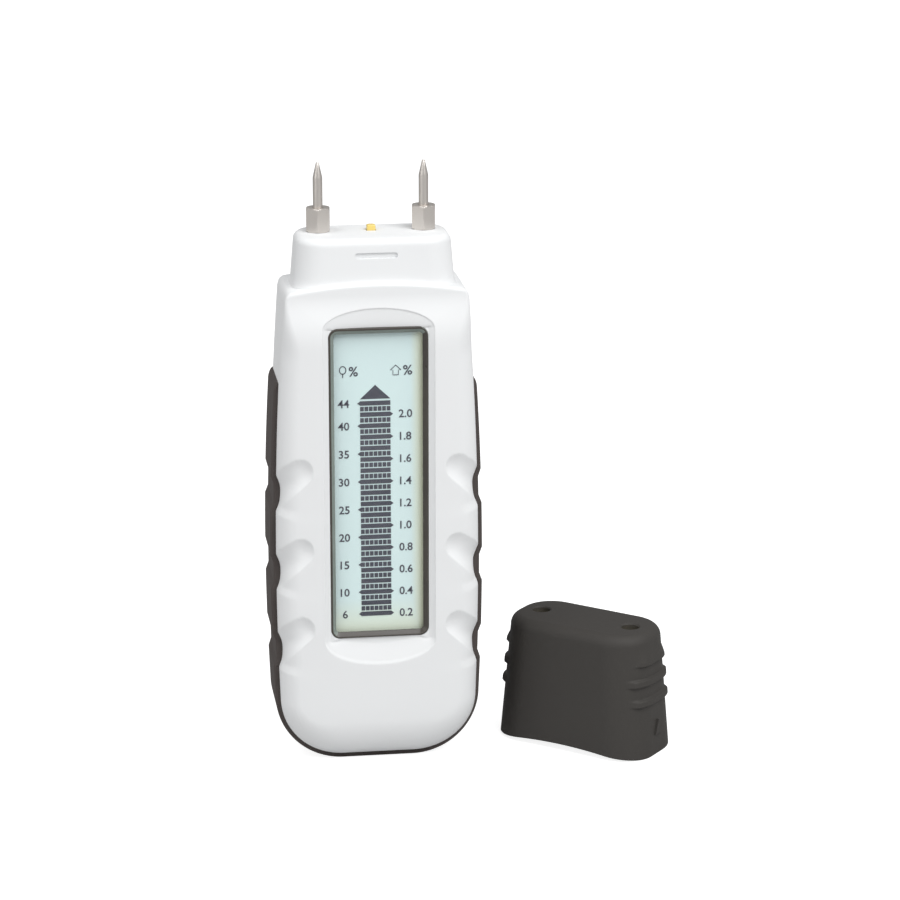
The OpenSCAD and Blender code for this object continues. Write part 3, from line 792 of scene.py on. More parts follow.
@dataclass
class Neck:
    """The tapered neck that carries the electrodes, split between the two cases."""

    form: BodyForm
    width: float = 35.2
    depth: float = 18.4
    taper_w: float = 0.156
    taper_d: float = 0.125
    corner_r: float = 6.0
    top_r: float = 1.7
    flare: float = 0.7
    seam: float = 0.03
    hole_gap: float = 0.05
    hole_zs: tuple[float, float] = (112.0, 121.0)
    plunger_hole: float = 2.2
    plunger_hole_r: float = 0.2
    plunger_y: float = 1.5
    slot_z: float = 115.2
    slot_half: float = 4.0
    slot_r: float = 0.65
    slot_ys: tuple[float, float] = (-12.0, -8.25)

    def loft(self, top_z: float) -> np.ndarray:
        """Rings of the whole neck, from inside the body to the middle of its top.

        Args:
            top_z: Height of the neck's top.

        Returns:
            The grid of points.
        """
        levels = np.concatenate([[-0.35], np.linspace(0, 0.3, 10), np.linspace(0.36, 1, 14)])
        wall_top = top_z - self.top_r
        grid = []
        for level in levels:
            rise = level * (wall_top - self.form.shoulder_z)
            spread = self.flare * math.exp(-max(rise, 0.0) / 0.45)
            loop = rounded_loop(self.width - self.taper_w * rise + spread,
                                self.depth - self.taper_d * rise + spread, self.corner_r)
            base = self.form.ledge(loop[:, 0])
            z = base + (wall_top - base) * level
            grid.append(np.column_stack([loop, z]))
        rise = wall_top - self.form.shoulder_z
        for angle in np.linspace(12, 90, 9):
            inset = self.top_r * (1 - math.cos(math.radians(angle)))
            loop = rounded_loop(self.width - self.taper_w * rise - 2 * inset,
                                self.depth - self.taper_d * rise - 2 * inset, self.corner_r - inset)
            z = wall_top + self.top_r * math.sin(math.radians(angle))
            grid.append(np.column_stack([loop, np.full(len(loop), z)]))
        return np.array(grid)

    def half(self, top_z: float, front: bool) -> bpy.types.Object:
        """The part of the neck before or behind the parting plane.

        Args:
            top_z: Height of the neck's top.
            front: Whether it is the front part.

        Returns:
            The closed piece.
        """
        shape = Shape()
        shape.rows(self.loft(top_z))
        piece = shape.build("neck_half")
        edit = bmesh.new()
        edit.from_mesh(piece.data)
        plane_y = (self.form.parting_y - self.seam if front else self.form.parting_y + self.seam) * MM
        geometry = edit.verts[:] + edit.edges[:] + edit.faces[:]
        bmesh.ops.bisect_plane(edit, geom=geometry, plane_co=(0, plane_y, 0), plane_no=(0, 1, 0),
                               clear_outer=front, clear_inner=not front)
        bmesh.ops.holes_fill(edit, edges=[e for e in edit.edges if e.is_boundary], sides=0)
        edit.to_mesh(piece.data)
        edit.free()
        return piece


@dataclass
class Cases:
    """The white front and rear cases, with the neck on top of them."""

    form: BodyForm
    neck: Neck
    columns: int = 960
    face_rows: int = 100
    front_y: float = -12.5
    crown: float = 0.9
    crown_reach: float = 14.0
    side_roll: float = 4.2
    foot_roll: tuple[float, float] = (9.5, 6.0)
    top_roll: float = 0.7
    top_lean: float = 2.0
    top_reach: tuple[float, float] = (93.0, 107.0)
    pocket_half: float = 12.2
    pocket_low: tuple[float, float] = (29.5, 5.4)
    pocket_high: tuple[float, float] = (99.6, 4.6)
    pocket_depth: float = 1.0
    end_deeper: float = 0.45
    groove_r: float = 2.9
    groove_depths: tuple[float, float] = (1.15, 0.1)
    groove_widening: float = 0.9
    groove_way: tuple[float, float] = (0.55, 0.83)
    soft_rounds: int = 30
    seam: float = 0.03
    wall: float = 2.4
    back_roll: tuple[float, float] = (4.2, 3.9)
    window_hole: tuple[float, float] = (21.7, 70.0)
    window_hole_r: float = 2.05
    inner_front_y: float = -10.4
    front_bend_y: float = -7.0
    inner_back_y: float = 7.4
    back_bend_y: float = 6.0
    seat_r: float = 13.2
    seat_y: float = 10.4
    lip_r: float = 12.2
    lip_front_y: float = 8.9
    hollow_r: float = 13.5
    screw_x: float = 15.3
    screw_head_r: float = 2.0
    recess_r: float = 2.3
    recess_y: float = 8.2
    sharp: float = 40.0

    def build(self) -> None:
        """Builds and dresses both cases."""
        place(self.front(), "meter", "white_case", WHITE_CASE, ["front_case"])
        place(self.rear(), "meter", "white_case", WHITE_CASE, ["rear_case"])

    def pocket(self, flat: np.ndarray) -> np.ndarray:
        """Depth of the pocket round the window at flat points.

        Args:
            flat: Grid of (x, z) points.

        Returns:
            The depth below the face at each point.
        """
        low_z, low_rise = self.pocket_low
        high_z, high_rise = self.pocket_high
        upper = arc((0, high_z), (self.pocket_half, high_rise), 0, 180, 200)
        lower = arc((0, low_z), (self.pocket_half, low_rise), 180, 360, 200)
        loop = resample(np.vstack([upper, lower]), 900, closed=True)
        distance, index = nearest(flat, loop)
        share = np.sqrt(np.clip(1 - (flat[..., 0] / self.pocket_half) ** 2, 0, 1))
        inside = np.abs(flat[..., 0]) < self.pocket_half
        inside &= (flat[..., 1] < high_z + high_rise * share) & (flat[..., 1] > low_z - low_rise * share)
        ends = outward(loop)[index][..., 1] ** 2
        run = 1.25 + 3.3 * ends
        step = 0.12 * smooth(distance / 0.3) + 0.88 * np.clip(distance / run, 0, 1)
        return np.where(inside, (self.pocket_depth + self.end_deeper * ends) * step, 0.0)

    def face(self, flat: np.ndarray, loop: np.ndarray) -> np.ndarray:
        """Depth of the front face at flat points, with its rolled edges.

        Args:
            flat: Grid of (x, z) points.
            loop: The case outline.

        Returns:
            The y of each point.
        """
        distance, index = nearest(flat, loop)
        down = (np.clip(-outward(loop)[:, 1], 0, 1) ** 1.5)[index]
        low, high = self.top_reach
        up = smooth((flat[..., 1] - low) / (high - low))
        tighter = (self.top_roll - self.side_roll) * up
        width = self.side_roll + (self.foot_roll[0] - self.side_roll) * down + tighter
        drop = self.side_roll + (self.foot_roll[1] - self.side_roll) * down + tighter
        bend = np.clip((width - distance) / width, 0, 1)
        roll = drop * (1 - np.sqrt(1 - bend ** 2))
        dome = self.crown * (1 - 0.8 * up) * (1 - np.clip(distance / self.crown_reach, 0, 1)) ** 2
        return self.front_y + roll + dome + self.top_lean * up ** 2

    def groove(self, points: np.ndarray) -> np.ndarray:
        """Depth of the finger grooves that run over the front edge into the side notches.

        Args:
            points: Grid of points on the case.

        Returns:
            How far each point sinks.
        """
        sunk = np.zeros(points.shape[:-1])
        folded = points.copy()
        folded[..., 0] = np.abs(folded[..., 0])
        for z in self.form.notch_zs:
            lift = z - self.form.notch_zs[-1]
            axis = np.array([(17.3, -12.3, 68.5), (20.3, -11, 66.0), (22.4, -7.5, 62.9), (22.4, -4, 62.2)])
            line = resample(axis + np.array([0, 0, lift]), 64)
            for share, spot in zip(np.linspace(0, 1, len(line)), line):
                gap = np.linalg.norm(folded - spot, axis=-1) / (self.groove_r + self.groove_widening * share)
                depth = self.groove_depths[0] + (self.groove_depths[1] - self.groove_depths[0]) * share ** 2
                sunk = np.maximum(sunk, depth * np.clip(1 - gap ** 2, 0, 1))
        return sunk

    def softened(self, points: np.ndarray, share: np.ndarray) -> np.ndarray:
        """Evens out the creases of the case inside its grooves.

        Args:
            points: Grid of points whose rows are closed loops.
            share: How far each point may move, from 0 to 1.

        Returns:
            The evened grid.
        """
        share = np.sqrt(share)[1:-1, :, None]
        for _ in range(self.soft_rounds):
            beside = np.roll(points, 1, axis=1) + np.roll(points, -1, axis=1)
            mean = (beside[1:-1] + points[:-2] + points[2:]) / 4
            points = points.copy()
            points[1:-1] += (mean - points[1:-1]) * share
        return points

    def front(self) -> bpy.types.Object:
        """The front case with its pocket, grooves, window opening and neck front.

        Returns:
            The piece.
        """
        bezel_low, bezel_high = corners("window_bezel")
        window_z = (bezel_low[2] + bezel_high[2]) / 2
        loop = self.form.case_loop(self.columns)
        hole = onto_rounded(loop, (0, window_z), self.window_hole, self.window_hole_r)
        shares = np.linspace(0, 1, self.face_rows)
        flat = loop[None] + (hole - loop)[None] * shares[:, None, None]
        face = at_depth(flat, self.face(flat, loop) + self.pocket(flat))
        wall_shares = np.linspace(0, 1, 16)[:-1]
        edge_y = self.form.parting_y - self.seam
        wall = np.stack([at_depth(loop, edge_y + (face[0, :, 1] - edge_y) * s) for s in wall_shares])
        outer = np.concatenate([wall, face])
        sink_x, sink_y = self.groove_way
        way = np.stack([-np.sign(outer[..., 0]) * sink_x, np.full(outer.shape[:-1], sink_y),
                        np.zeros(outer.shape[:-1])], axis=-1)
        depth = self.groove(outer)
        outer = self.softened(outer + way * depth[..., None], np.clip(depth / self.groove_depths[0], 0, 1))
        inside = [
            at_depth(hole, self.inner_front_y),
            at_depth(self.form.drawn_in(loop, self.wall + 3), self.inner_front_y),
            at_depth(self.form.drawn_in(loop, self.wall), self.front_bend_y),
            at_depth(self.form.drawn_in(loop, self.wall), edge_y),
        ]
        shape = Shape()
        shape.rows(np.concatenate([outer, np.array(inside)]), joined=True)
        shape.absorb(self.front_neck())
        return shape.build("front_shell", self.sharp)

    def front_neck(self) -> bpy.types.Object:
        """The neck's front part with the slot that the cap clicks into.

        Returns:
            The neck's front part, ready to join the front case.
        """
        neck = self.neck
        radii = (neck.slot_r, neck.slot_r)
        right = arc((neck.slot_half, neck.slot_z), radii, -90, 90, 16)
        left = arc((-neck.slot_half, neck.slot_z), radii, 90, 270, 16)
        slot = Shape()
        slot.prism(np.vstack([right, left]), *neck.slot_ys)
        return carve(neck.half(corners("rear_case")[1][2], front=True), [slot])

    def rear(self) -> bpy.types.Object:
        """The rear case with its battery seat, screw recesses and neck rear.

        Returns:
            The piece.
        """
        door_low, door_high = corners("battery_door")
        door_z = (door_low[2] + door_high[2]) / 2
        back_y = corners("rear_case")[1][1]
        loop = self.form.case_loop(self.columns // 2)
        edge_y = self.form.parting_y + self.seam
        run, rise = self.back_roll
        rings = [at_depth(loop, edge_y + (back_y - rise - edge_y) * s) for s in np.linspace(0, 1, 8)]
        middle = np.array([0, door_z])
        way = middle - loop
        length = np.linalg.norm(way, axis=1, keepdims=True)
        seat = middle - way / length * self.seat_r
        for angle in np.linspace(10, 90, 9):
            share = run * (1 - math.cos(math.radians(angle)))
            flat = self.form.drawn_in(loop, share)
            rings.append(at_depth(flat, back_y - rise + rise * math.sin(math.radians(angle))))
        start = self.form.drawn_in(loop, run)
        rings += [at_depth(start + (seat - start) * s, back_y) for s in np.linspace(0, 1, 12)[1:]]
        circle = (seat - middle) / self.seat_r
        steps = [(self.seat_r, self.seat_y), (self.lip_r, self.seat_y), (self.lip_r, self.lip_front_y),
                 (self.hollow_r, self.lip_front_y), (self.hollow_r, self.inner_back_y)]
        rings += [at_depth(middle + circle * r, y) for r, y in steps]
        rings += [
            at_depth(self.form.drawn_in(loop, self.wall + 3), self.inner_back_y),
            at_depth(self.form.drawn_in(loop, self.wall), self.back_bend_y),
            at_depth(self.form.drawn_in(loop, self.wall), edge_y),
        ]
        body = Shape()
        body.rows(np.array(rings), joined=True)
        shape = Shape()
        shape.absorb(carve(body.build("rear_body", self.sharp), self.screw_recesses()))
        shape.absorb(self.rear_neck())
        return shape.build("rear_shell", self.sharp)

    def screw_recesses(self) -> list[Shape]:
        """The four round recesses that the case screws sit in, widened at the mouth.

        Returns:
            One shape to cut away for each screw.
        """
        low, high = corners("case_screws")
        outside = self.recess_y + 4.8
        profile = [(0, self.recess_y), (self.recess_r, self.recess_y), (self.recess_r, outside - 1.25),
                   (self.recess_r + 0.3, outside), (0, outside)]
        heights = (low[2] + self.screw_head_r, high[2] - self.screw_head_r)
        return [turned(profile, (x, z), along_y=True) for x in (-self.screw_x, self.screw_x) for z in heights]

    def rear_neck(self) -> bpy.types.Object:
        """The neck's rear part with the holes for the electrode sockets and the plunger.

        Returns:
            The neck's rear part, ready to join the rear case.
        """
        neck = self.neck
        low_z, high_z = neck.hole_zs
        cutters = []
        for side in ("left_terminal", "right_terminal"):
            low, high = corners(side)
            radius = (high[0] - low[0]) / 2 + neck.hole_gap
            centre = ((low[0] + high[0]) / 2, (low[1] + high[1]) / 2)
            cutters.append(turned([(0, low_z), (radius, low_z), (radius, high_z), (0, high_z)], centre))
        plunger = Shape()
        loop = rounded_loop(neck.plunger_hole, neck.plunger_hole, neck.plunger_hole_r, 4, 3)
        loop = loop + np.array([0, neck.plunger_y])
        plunger.rows(np.stack([np.column_stack([loop, np.full(len(loop), z)]) for z in neck.hole_zs]))
        return carve(neck.half(corners("rear_case")[1][2], front=False), [*cutters, plunger])


@dataclass
class SideGrip:
    """The rubber grip that runs up both sides and round the foot."""

    form: BodyForm
    tip: float = 2.4
    bury: float = 0.25
    lip_y: float = -6.1
    lip_r: float = 0.5
    wall_ys: tuple[float, ...] = (-4.0, -2.0, 1.0, 4.0, 6.5)
    opening: tuple[float, float] = (35.8, 120.0)
    opening_r: float = 8.0
    opening_z: float = 67.0

    def path(self) -> tuple[np.ndarray, np.ndarray]:
        """The grip's outer line from its left end round the foot to its right end.

        Returns:
            The points as (x, z) rows, and how full the grip is at each of them, from 0 to 1.
        """
        form = self.form
        corner = arc((form.foot_x, form.foot_r), (form.foot_r, form.foot_r), -90, 0, 80)
        z = np.concatenate([
            np.linspace(form.foot_r, form.grip_top_z - self.tip, 400),
            form.grip_top_z - self.tip + self.tip * np.sin(np.radians(np.linspace(3, 90, 24))),
        ])
        full = np.sqrt(np.clip(1 - np.clip((z - form.grip_top_z + self.tip) / self.tip, 0, 1) ** 2, 0, 1))
        x = form.case_width(z) + full * (form.grip_width(z) - form.case_width(z)) - form.notch(z)
        half = np.vstack([
            np.column_stack([np.linspace(0, form.foot_x, 20)[:-1], np.zeros(19), np.ones(19)]),
            np.column_stack([corner[:-1], np.ones(79)]),
            np.column_stack([x, z, full]),
        ])
        whole = np.vstack([half[:0:-1] * np.array([-1, 1, 1]), half])
        return whole[:, :2], whole[:, 2]

    def build(self) -> None:
        """Builds and dresses the grip."""
        line, full = self.path()
        normal = outward(line, closed=False)
        back_y = corners("grip_boot")[1][1]
        edge = onto_rounded(line, (0, self.opening_z), self.opening, self.opening_r)
        way = edge - line
        length = np.linalg.norm(way, axis=1, keepdims=True)
        way = way / length
        buried = line - normal * (self.form.grip_t + self.bury)
        columns = [at_depth(buried, self.lip_y)]
        for angle in np.linspace(0, 90, 6):
            round_r = self.lip_r * full[:, None]
            slide = 1 - math.sin(math.radians(angle))
            columns.append(at_depth(line - normal * round_r * slide,
                                    self.lip_y + round_r[:, 0] * (1 - math.cos(math.radians(angle)))))
        columns += [at_depth(line, y) for y in self.wall_ys]
        run, start_y = 4.2 + 0.6 * full, 8.0 + 0.4 * full
        for angle in np.linspace(0, 90, 14):
            along = np.minimum(run * (1 - math.cos(math.radians(angle))), length[:, 0] - 0.35)
            bend = np.clip((run - along) / run, 0, 1)
            rise = back_y - 0.6 * (1 - full) - start_y - 0.02 * (1 - full)
            columns.append(at_depth(line + way * along[:, None], start_y + rise * np.sqrt(1 - bend ** 2)))
        top = columns[-1][:, 1]
        columns += [at_depth(edge - way * 0.3, top), at_depth(edge - way * 0.08, top - 0.1)]
        columns += [at_depth(edge, top - 0.3)]
        columns += [at_depth(edge, 11.5), at_depth(buried + way * 1.2, 8.0)]
        shape = Shape()
        shape.rows(np.stack(columns, axis=1))
        place(shape.build("side_grip", 40.0), "meter", "grip_rubber", GRIP_RUBBER, ["grip_boot"])


# ---------- display ----------


@dataclass
class Display:
    """The window frame, the clear window and what the display shows."""

    middle_z: float = field(init=False)
    mark_ys: tuple[float, float] = field(init=False)
    frame_r: float = 2.0
    flange: float = 2.6
    flange_y: float = -10.35
    view_loss: tuple[float, float] = (2.3, 2.5)
    rim: float = 0.33
    slope_tilt: float = 0.3
    row_count: int = 39
    top_row_z: float = 82.63
    row_pitch: float = 1.262
    bar_half: float = 3.3
    bar_height: float = 1.0
    blocks: int = 7
    block_gap: float = 0.15
    point: float = 0.6
    shift: float = -0.6
    line_w: float = 0.2
    lift: float = 0.25
    left_marks: tuple[tuple[str, int], ...] = (
        ("44", 0), ("40", 4), ("35", 9), ("30", 14), ("25", 19), ("20", 24), ("15", 29), ("10", 34),
        ("6", 38))
    right_marks: tuple[tuple[str, int], ...] = (
        ("2.0", 2), ("1.8", 6), ("1.6", 10), ("1.4", 14), ("1.2", 18), ("1.0", 22), ("0.8", 26),
        ("0.6", 30), ("0.4", 34), ("0.2", 38))
    figure_h: float = 1.8
    figure_xs: tuple[float, float] = (-6.9, 6.6)
    pointer_half: float = 0.45
    symbol_z: float = 89.8

    def build(self) -> None:
        """Builds the frame and the marks, and dresses the display glass and window."""
        low, high = corners("window_bezel")
        self.middle_z = float(low[2] + high[2]) / 2
        glass_y = float(corners("lcd_glass")[0][1])
        self.mark_ys = (glass_y - 0.07, glass_y - 0.015)
        place(self.window_frame(), "meter", "bezel_plastic", None, ["window_bezel"])
        place(self.marks(), "meter", "lcd_glass", DISPLAY_INK)
        dress(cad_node("lcd_glass"), DISPLAY_GROUND.material())
        dress(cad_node("window_lens"), CLEAR_WINDOW.material())

    def window_frame(self) -> bpy.types.Object:
        """The frame round the window, sloping in to the clear plate, with a flange behind the case, and a
        painted reflection on the slope faces that turn right or down.

        Returns:
            The piece.
        """
        low, high = corners("window_bezel")
        lens_y = float(corners("window_lens")[0][1])
        front_y, back_y = float(low[1]), float(high[1])
        outer_w, outer_h = float(high[0] - low[0]), float(high[2] - low[2])
        width, height = outer_w - self.flange, outer_h - self.flange
        view_w, view_h = width - self.view_loss[0], height - self.view_loss[1]
        sections = [
            (outer_w, outer_h, self.frame_r, back_y), (outer_w, outer_h, self.frame_r, self.flange_y),
            (width, height, self.frame_r, self.flange_y), (width, height, self.frame_r, front_y + 0.15),
            (width - 0.1, height - 0.1, self.frame_r, front_y + 0.04),
            (width - 0.3, height - 0.3, self.frame_r - 0.1, front_y),
            (width - 2 * self.rim, height - 2 * self.rim, 1.6, front_y),
            (width - 2 * self.rim - 0.2, height - 2 * self.rim - 0.2, 1.5, front_y + 0.06),
            (view_w + 0.2, view_h + 0.2, 0.95, front_y + 0.6), (view_w, view_h, 0.8, front_y + 0.7),
            (view_w, view_h, 0.8, lens_y), (view_w + 1.4, view_h + 1.4, 1.0, lens_y),
            (view_w + 1.4, view_h + 1.4, 1.0, back_y),
        ]
        centre = np.array([0, self.middle_z])
        rings = [at_depth(rounded_loop(w, h, r, 10, 30) + centre, y) for w, h, r, y in sections]
        shape = Shape()
        shape.rows(np.array(rings), joined=True)
        frame = shape.build("window_frame", 30.0)
        frame.data.materials.append(FRAME_PLASTIC.material())
        frame.data.materials.append(FRAME_PAINTED_REFLECTION.material())
        # Slope faces that turn right or down take the paler copy of the plastic: a painted reflection of the
        # key light and the floor.
        for face in frame.data.polygons:
            lit = face.normal.x > self.slope_tilt or face.normal.z < -self.slope_tilt
            sloping = face.normal.y < -self.slope_tilt and face.center.y > (front_y + 0.05) * MM
            face.material_index = int(lit and sloping)
        return frame

    def figure(self, text: str, centre: Sequence[float], height: float) -> Shape:
        """A number as a thin raised shape.

        Args:
            text: The number.
            centre: Middle of the number, x and z.
            height: Height of its digits.

        Returns:
            The closed shape.
        """
        curve = bpy.data.curves.new("figure", "FONT")
        curve.body = text
        curve.extrude = 0.05
        curve.offset = 0.012
        curve.resolution_u = 3
        source = bpy.data.objects.new("figure", curve)
        bpy.context.scene.collection.objects.link(source)
        bpy.context.view_layer.update()
        mesh = bpy.data.meshes.new_from_object(source.evaluated_get(bpy.context.evaluated_depsgraph_get()))
        edit = bmesh.new()
        edit.from_mesh(mesh)
        bmesh.ops.remove_doubles(edit, verts=edit.verts, dist=1e-4)
        points = np.array([v.co for v in edit.verts])
        faces = [tuple(v.index for v in face.verts) for face in edit.faces]
        edit.free()
        bpy.data.objects.remove(source, do_unlink=True)
        low, high = points.min(axis=0), points.max(axis=0)
        flat = (points[:, :2] - (low + high)[:2] / 2) * (height / (high[1] - low[1])) + np.array(centre)
        depth = np.where(points[:, 2] > 0, self.mark_ys[0], self.mark_ys[1])
        shape = Shape()
        shape.add(at_depth(flat, depth), faces)
        return shape

    def polygon(self, marks: Shape, outline: Sequence[Sequence[float]]) -> None:
        """Adds a flat mark from its outline."""
        marks.prism(np.array(outline, dtype=float), *self.mark_ys)

    def bar(self, marks: Shape, left: float, right: float, z: float) -> None:
        """Adds one upright-sided block of a row."""
        half = self.bar_height / 2
        self.polygon(marks, [(left, z - half), (right, z - half), (right, z + half), (left, z + half)])

    def ring(self, marks: Shape, outline: np.ndarray) -> None:
        """Adds a mark that is only the line round an outline.

        Args:
            marks: The shape that takes the mark.
            outline: The line's outer edge, as (x, z) rows.
        """
        middle = outline.mean(axis=0)
        reach = np.abs(outline - middle).max(axis=0)
        inner = middle + (outline - middle) * (1 - self.line_w / reach)
        near, far = self.mark_ys
        marks.rows(np.stack([at_depth(outline, near), at_depth(outline, far), at_depth(inner, far),
                             at_depth(inner, near)]), joined=True)

    def marks(self) -> bpy.types.Object:
        """Everything that the display shows: arrow, rows, pointers, numbers and the two material signs.

        Returns:
            The piece.
        """
        marks = Shape()
        arrow_low = self.top_row_z + self.row_pitch * 0.75
        self.polygon(marks, [(-self.bar_half, arrow_low), (self.bar_half, arrow_low), (0, arrow_low + 3.1)])
        block = (2 * self.bar_half - (self.blocks - 1) * self.block_gap) / self.blocks
        for row in range(self.row_count):
            z = self.top_row_z - row * self.row_pitch
            if row % 2 == 0:
                self.bar(marks, -self.bar_half, self.bar_half, z)
                continue
            for k in range(self.blocks):
                left = -self.bar_half + k * (block + self.block_gap)
                self.bar(marks, left, left + block, z)
        half = self.pointer_half
        for text, row in self.left_marks:
            z = self.top_row_z - row * self.row_pitch
            edge = -self.bar_half
            self.polygon(marks, [(edge, z - half), (edge, z + half), (edge - self.point, z)])
            self.take(marks, self.figure(text, (self.figure_xs[0], z), self.figure_h))
        for text, row in self.right_marks:
            z = self.top_row_z - row * self.row_pitch
            edge = self.bar_half
            self.polygon(marks, [(edge, z - half), (edge + self.point, z), (edge, z + half)])
            self.take(marks, self.figure(text, (self.figure_xs[1], z), self.figure_h))
        self.signs(marks)
        marks.points = [points + np.array([self.shift, 0, self.lift]) for points in marks.points]
        return marks.build("display_marks", 30.0)

    def signs(self, marks: Shape) -> None:
        """Adds the tree that stands for wood and the house that stands for building materials.

        Args:
            marks: The marks that the signs are added to.
        """
        z = self.symbol_z
        self.ring(marks, arc((-7.0, z + 0.35), (0.8, 0.95), -90, 270, 33)[:-1])
        self.bar(marks, -7.1, -6.9, z - 0.85)
        house = [(3.85, z - 1.1), (5.15, z - 1.1), (5.15, z + 0.1), (5.75, z + 0.1), (4.5, z + 1.25),
                 (3.25, z + 0.1), (3.85, z + 0.1)]
        self.ring(marks, np.array(house))
        self.take(marks, self.figure("%", (-4.7, z), 2.2))
        self.take(marks, self.figure("%", (7.1, z), 2.2))

    @staticmethod
    def take(marks: Shape, other: Shape) -> None:
        """Adds another shape's surfaces."""
        marks.add(np.vstack(other.points), other.faces)


# ---------- electrodes, plunger and door ----------


class Side(Enum):
    """The two sides of the meter, as seen from the display."""

    LEFT = "left"
    RIGHT = "right"


@dataclass
class Electrodes:
    """The two steel needles, each held by a hex collar."""

    turns: dict[Side, float] = field(default_factory=lambda: {Side.LEFT: -38.0, Side.RIGHT: 22.0})
    shaft_r: float = 1.05
    stud_r: float = 1.42
    cone_h: float = 3.3
    thread_pitch: float = 0.5
    thread_depth: float = 0.18
    across_flats: float = 5.0
    steps: int = 180

    def build(self) -> None:
        """Builds and dresses the needles and collars of both sides."""
        for side in Side:
            body = f"{side.value}_electrode"
            place(self.needle(side), body, "needle_steel", NEEDLE_STEEL, [f"{side.value}_needle"])
            place(self.collar(side), body, "collar_nickel", COLLAR_NICKEL, [f"{side.value}_hex_collar"])

    def needle(self, side: Side) -> bpy.types.Object:
        """A ground needle with a threaded stud below.

        Args:
            side: Which side it stands on.

        Returns:
            The piece.
        """
        low, high = corners(f"{side.value}_needle")
        centre = ((low[0] + high[0]) / 2, (low[1] + high[1]) / 2)
        stud_top = float(corners(f"{side.value}_hex_collar")[0][2])
        threads = []
        place_z = low[2] + 0.3
        while place_z < stud_top - 1.5:
            threads += [(self.stud_r - self.thread_depth, place_z),
                        (self.stud_r, place_z + self.thread_pitch / 2)]
            place_z += self.thread_pitch
        shaft_top = high[2] - self.cone_h
        stud = [(0, low[2]), (self.stud_r - 0.2, low[2]), *threads, (self.stud_r, stud_top - 1.0),
                (self.stud_r, stud_top - 0.06)]
        shaft = [(self.shaft_r, stud_top - 0.05), (self.shaft_r, shaft_top - 0.1),
                 (self.shaft_r - 0.03, shaft_top + 0.1)]
        tip = [(0.62, shaft_top + 1.9), (0.34, high[2] - 0.2), (0.24, high[2] - 0.05), (0, high[2])]
        profile = [*stud, *shaft, *tip]
        return turned(profile, centre, steps=64).build(f"{side.value}_pin", 28.0)

    def collar(self, side: Side) -> bpy.types.Object:
        """A hex collar whose corners are turned off at both ends.

        Args:
            side: Which side it stands on.

        Returns:
            The piece.
        """
        low, high = corners(f"{side.value}_hex_collar")
        centre = np.array([(low[0] + high[0]) / 2, (low[1] + high[1]) / 2])
        angle = np.linspace(0, 360, self.steps, endpoint=False)
        off = np.radians((angle - self.turns[side]) % 60 - 30)
        hexagon = self.across_flats / 2 / np.cos(off)
        way = np.stack([np.cos(np.radians(angle)), np.sin(np.radians(angle))], axis=1)
        inner = self.shaft_r + 0.02
        height = float(high[2] - low[2])
        rings = []
        for rise in (0.0, 0.1, 0.2, 0.32, height - 0.5, height - 0.36, height - 0.24, height - 0.12, height):
            end = min(rise, height - rise)
            limit = self.across_flats / 2 + 0.02 + end * 1.3
            rings.append(np.column_stack([centre + way * np.minimum(hexagon, limit)[:, None],
                                          np.full(self.steps, low[2] + rise)]))
        for radius, rise in ((inner + 0.25, height), (inner, height - 0.2), (inner, 0.0)):
            rings.append(np.column_stack([centre + way * radius, np.full(self.steps, low[2] + rise)]))
        shape = Shape()
        shape.rows(np.array(rings), joined=True)
        return shape.build(f"{side.value}_collar", 20.0)


@dataclass
class PlungerButton:
    """The small yellow block between the needles, which the cap pushes in."""

    width: float = 1.9
    edge_r: float = 0.3
    flange_drop: float = 3.4
    flange_r: float = 2.1
    flange_h: float = 1.0
    stem_r: float = 0.8

    def build(self) -> None:
        """Builds and dresses the plunger."""
        low, high = corners("plunger")
        centre = np.array([(low[0] + high[0]) / 2, (low[1] + high[1]) / 2])
        flange_top = high[2] - self.flange_drop
        rings = []
        for inset, z in ((0, flange_top - 0.1), (0, high[2] - self.edge_r), (0.04, high[2] - 0.17),
                         (0.13, high[2] - 0.06), (0.3, high[2])):
            side = self.width - 2 * inset
            loop = rounded_loop(side, side, self.edge_r, 6, 4) + centre
            rings.append(np.column_stack([loop, np.full(len(loop), z)]))
        shape = Shape()
        shape.rows(np.array(rings))
        base = flange_top - self.flange_h
        for profile in ([(0, base), (self.flange_r, base), (self.flange_r, flange_top), (0, flange_top)],
                        [(0, low[2]), (self.stem_r, low[2]), (self.stem_r, base + 0.2), (0, base + 0.2)]):
            part = turned(profile, centre, steps=40)
            shape.add(np.vstack(part.points), part.faces)
        place(shape.build("plunger_block"), "plunger", "plunger_yellow", PLUNGER_YELLOW, ["plunger"])


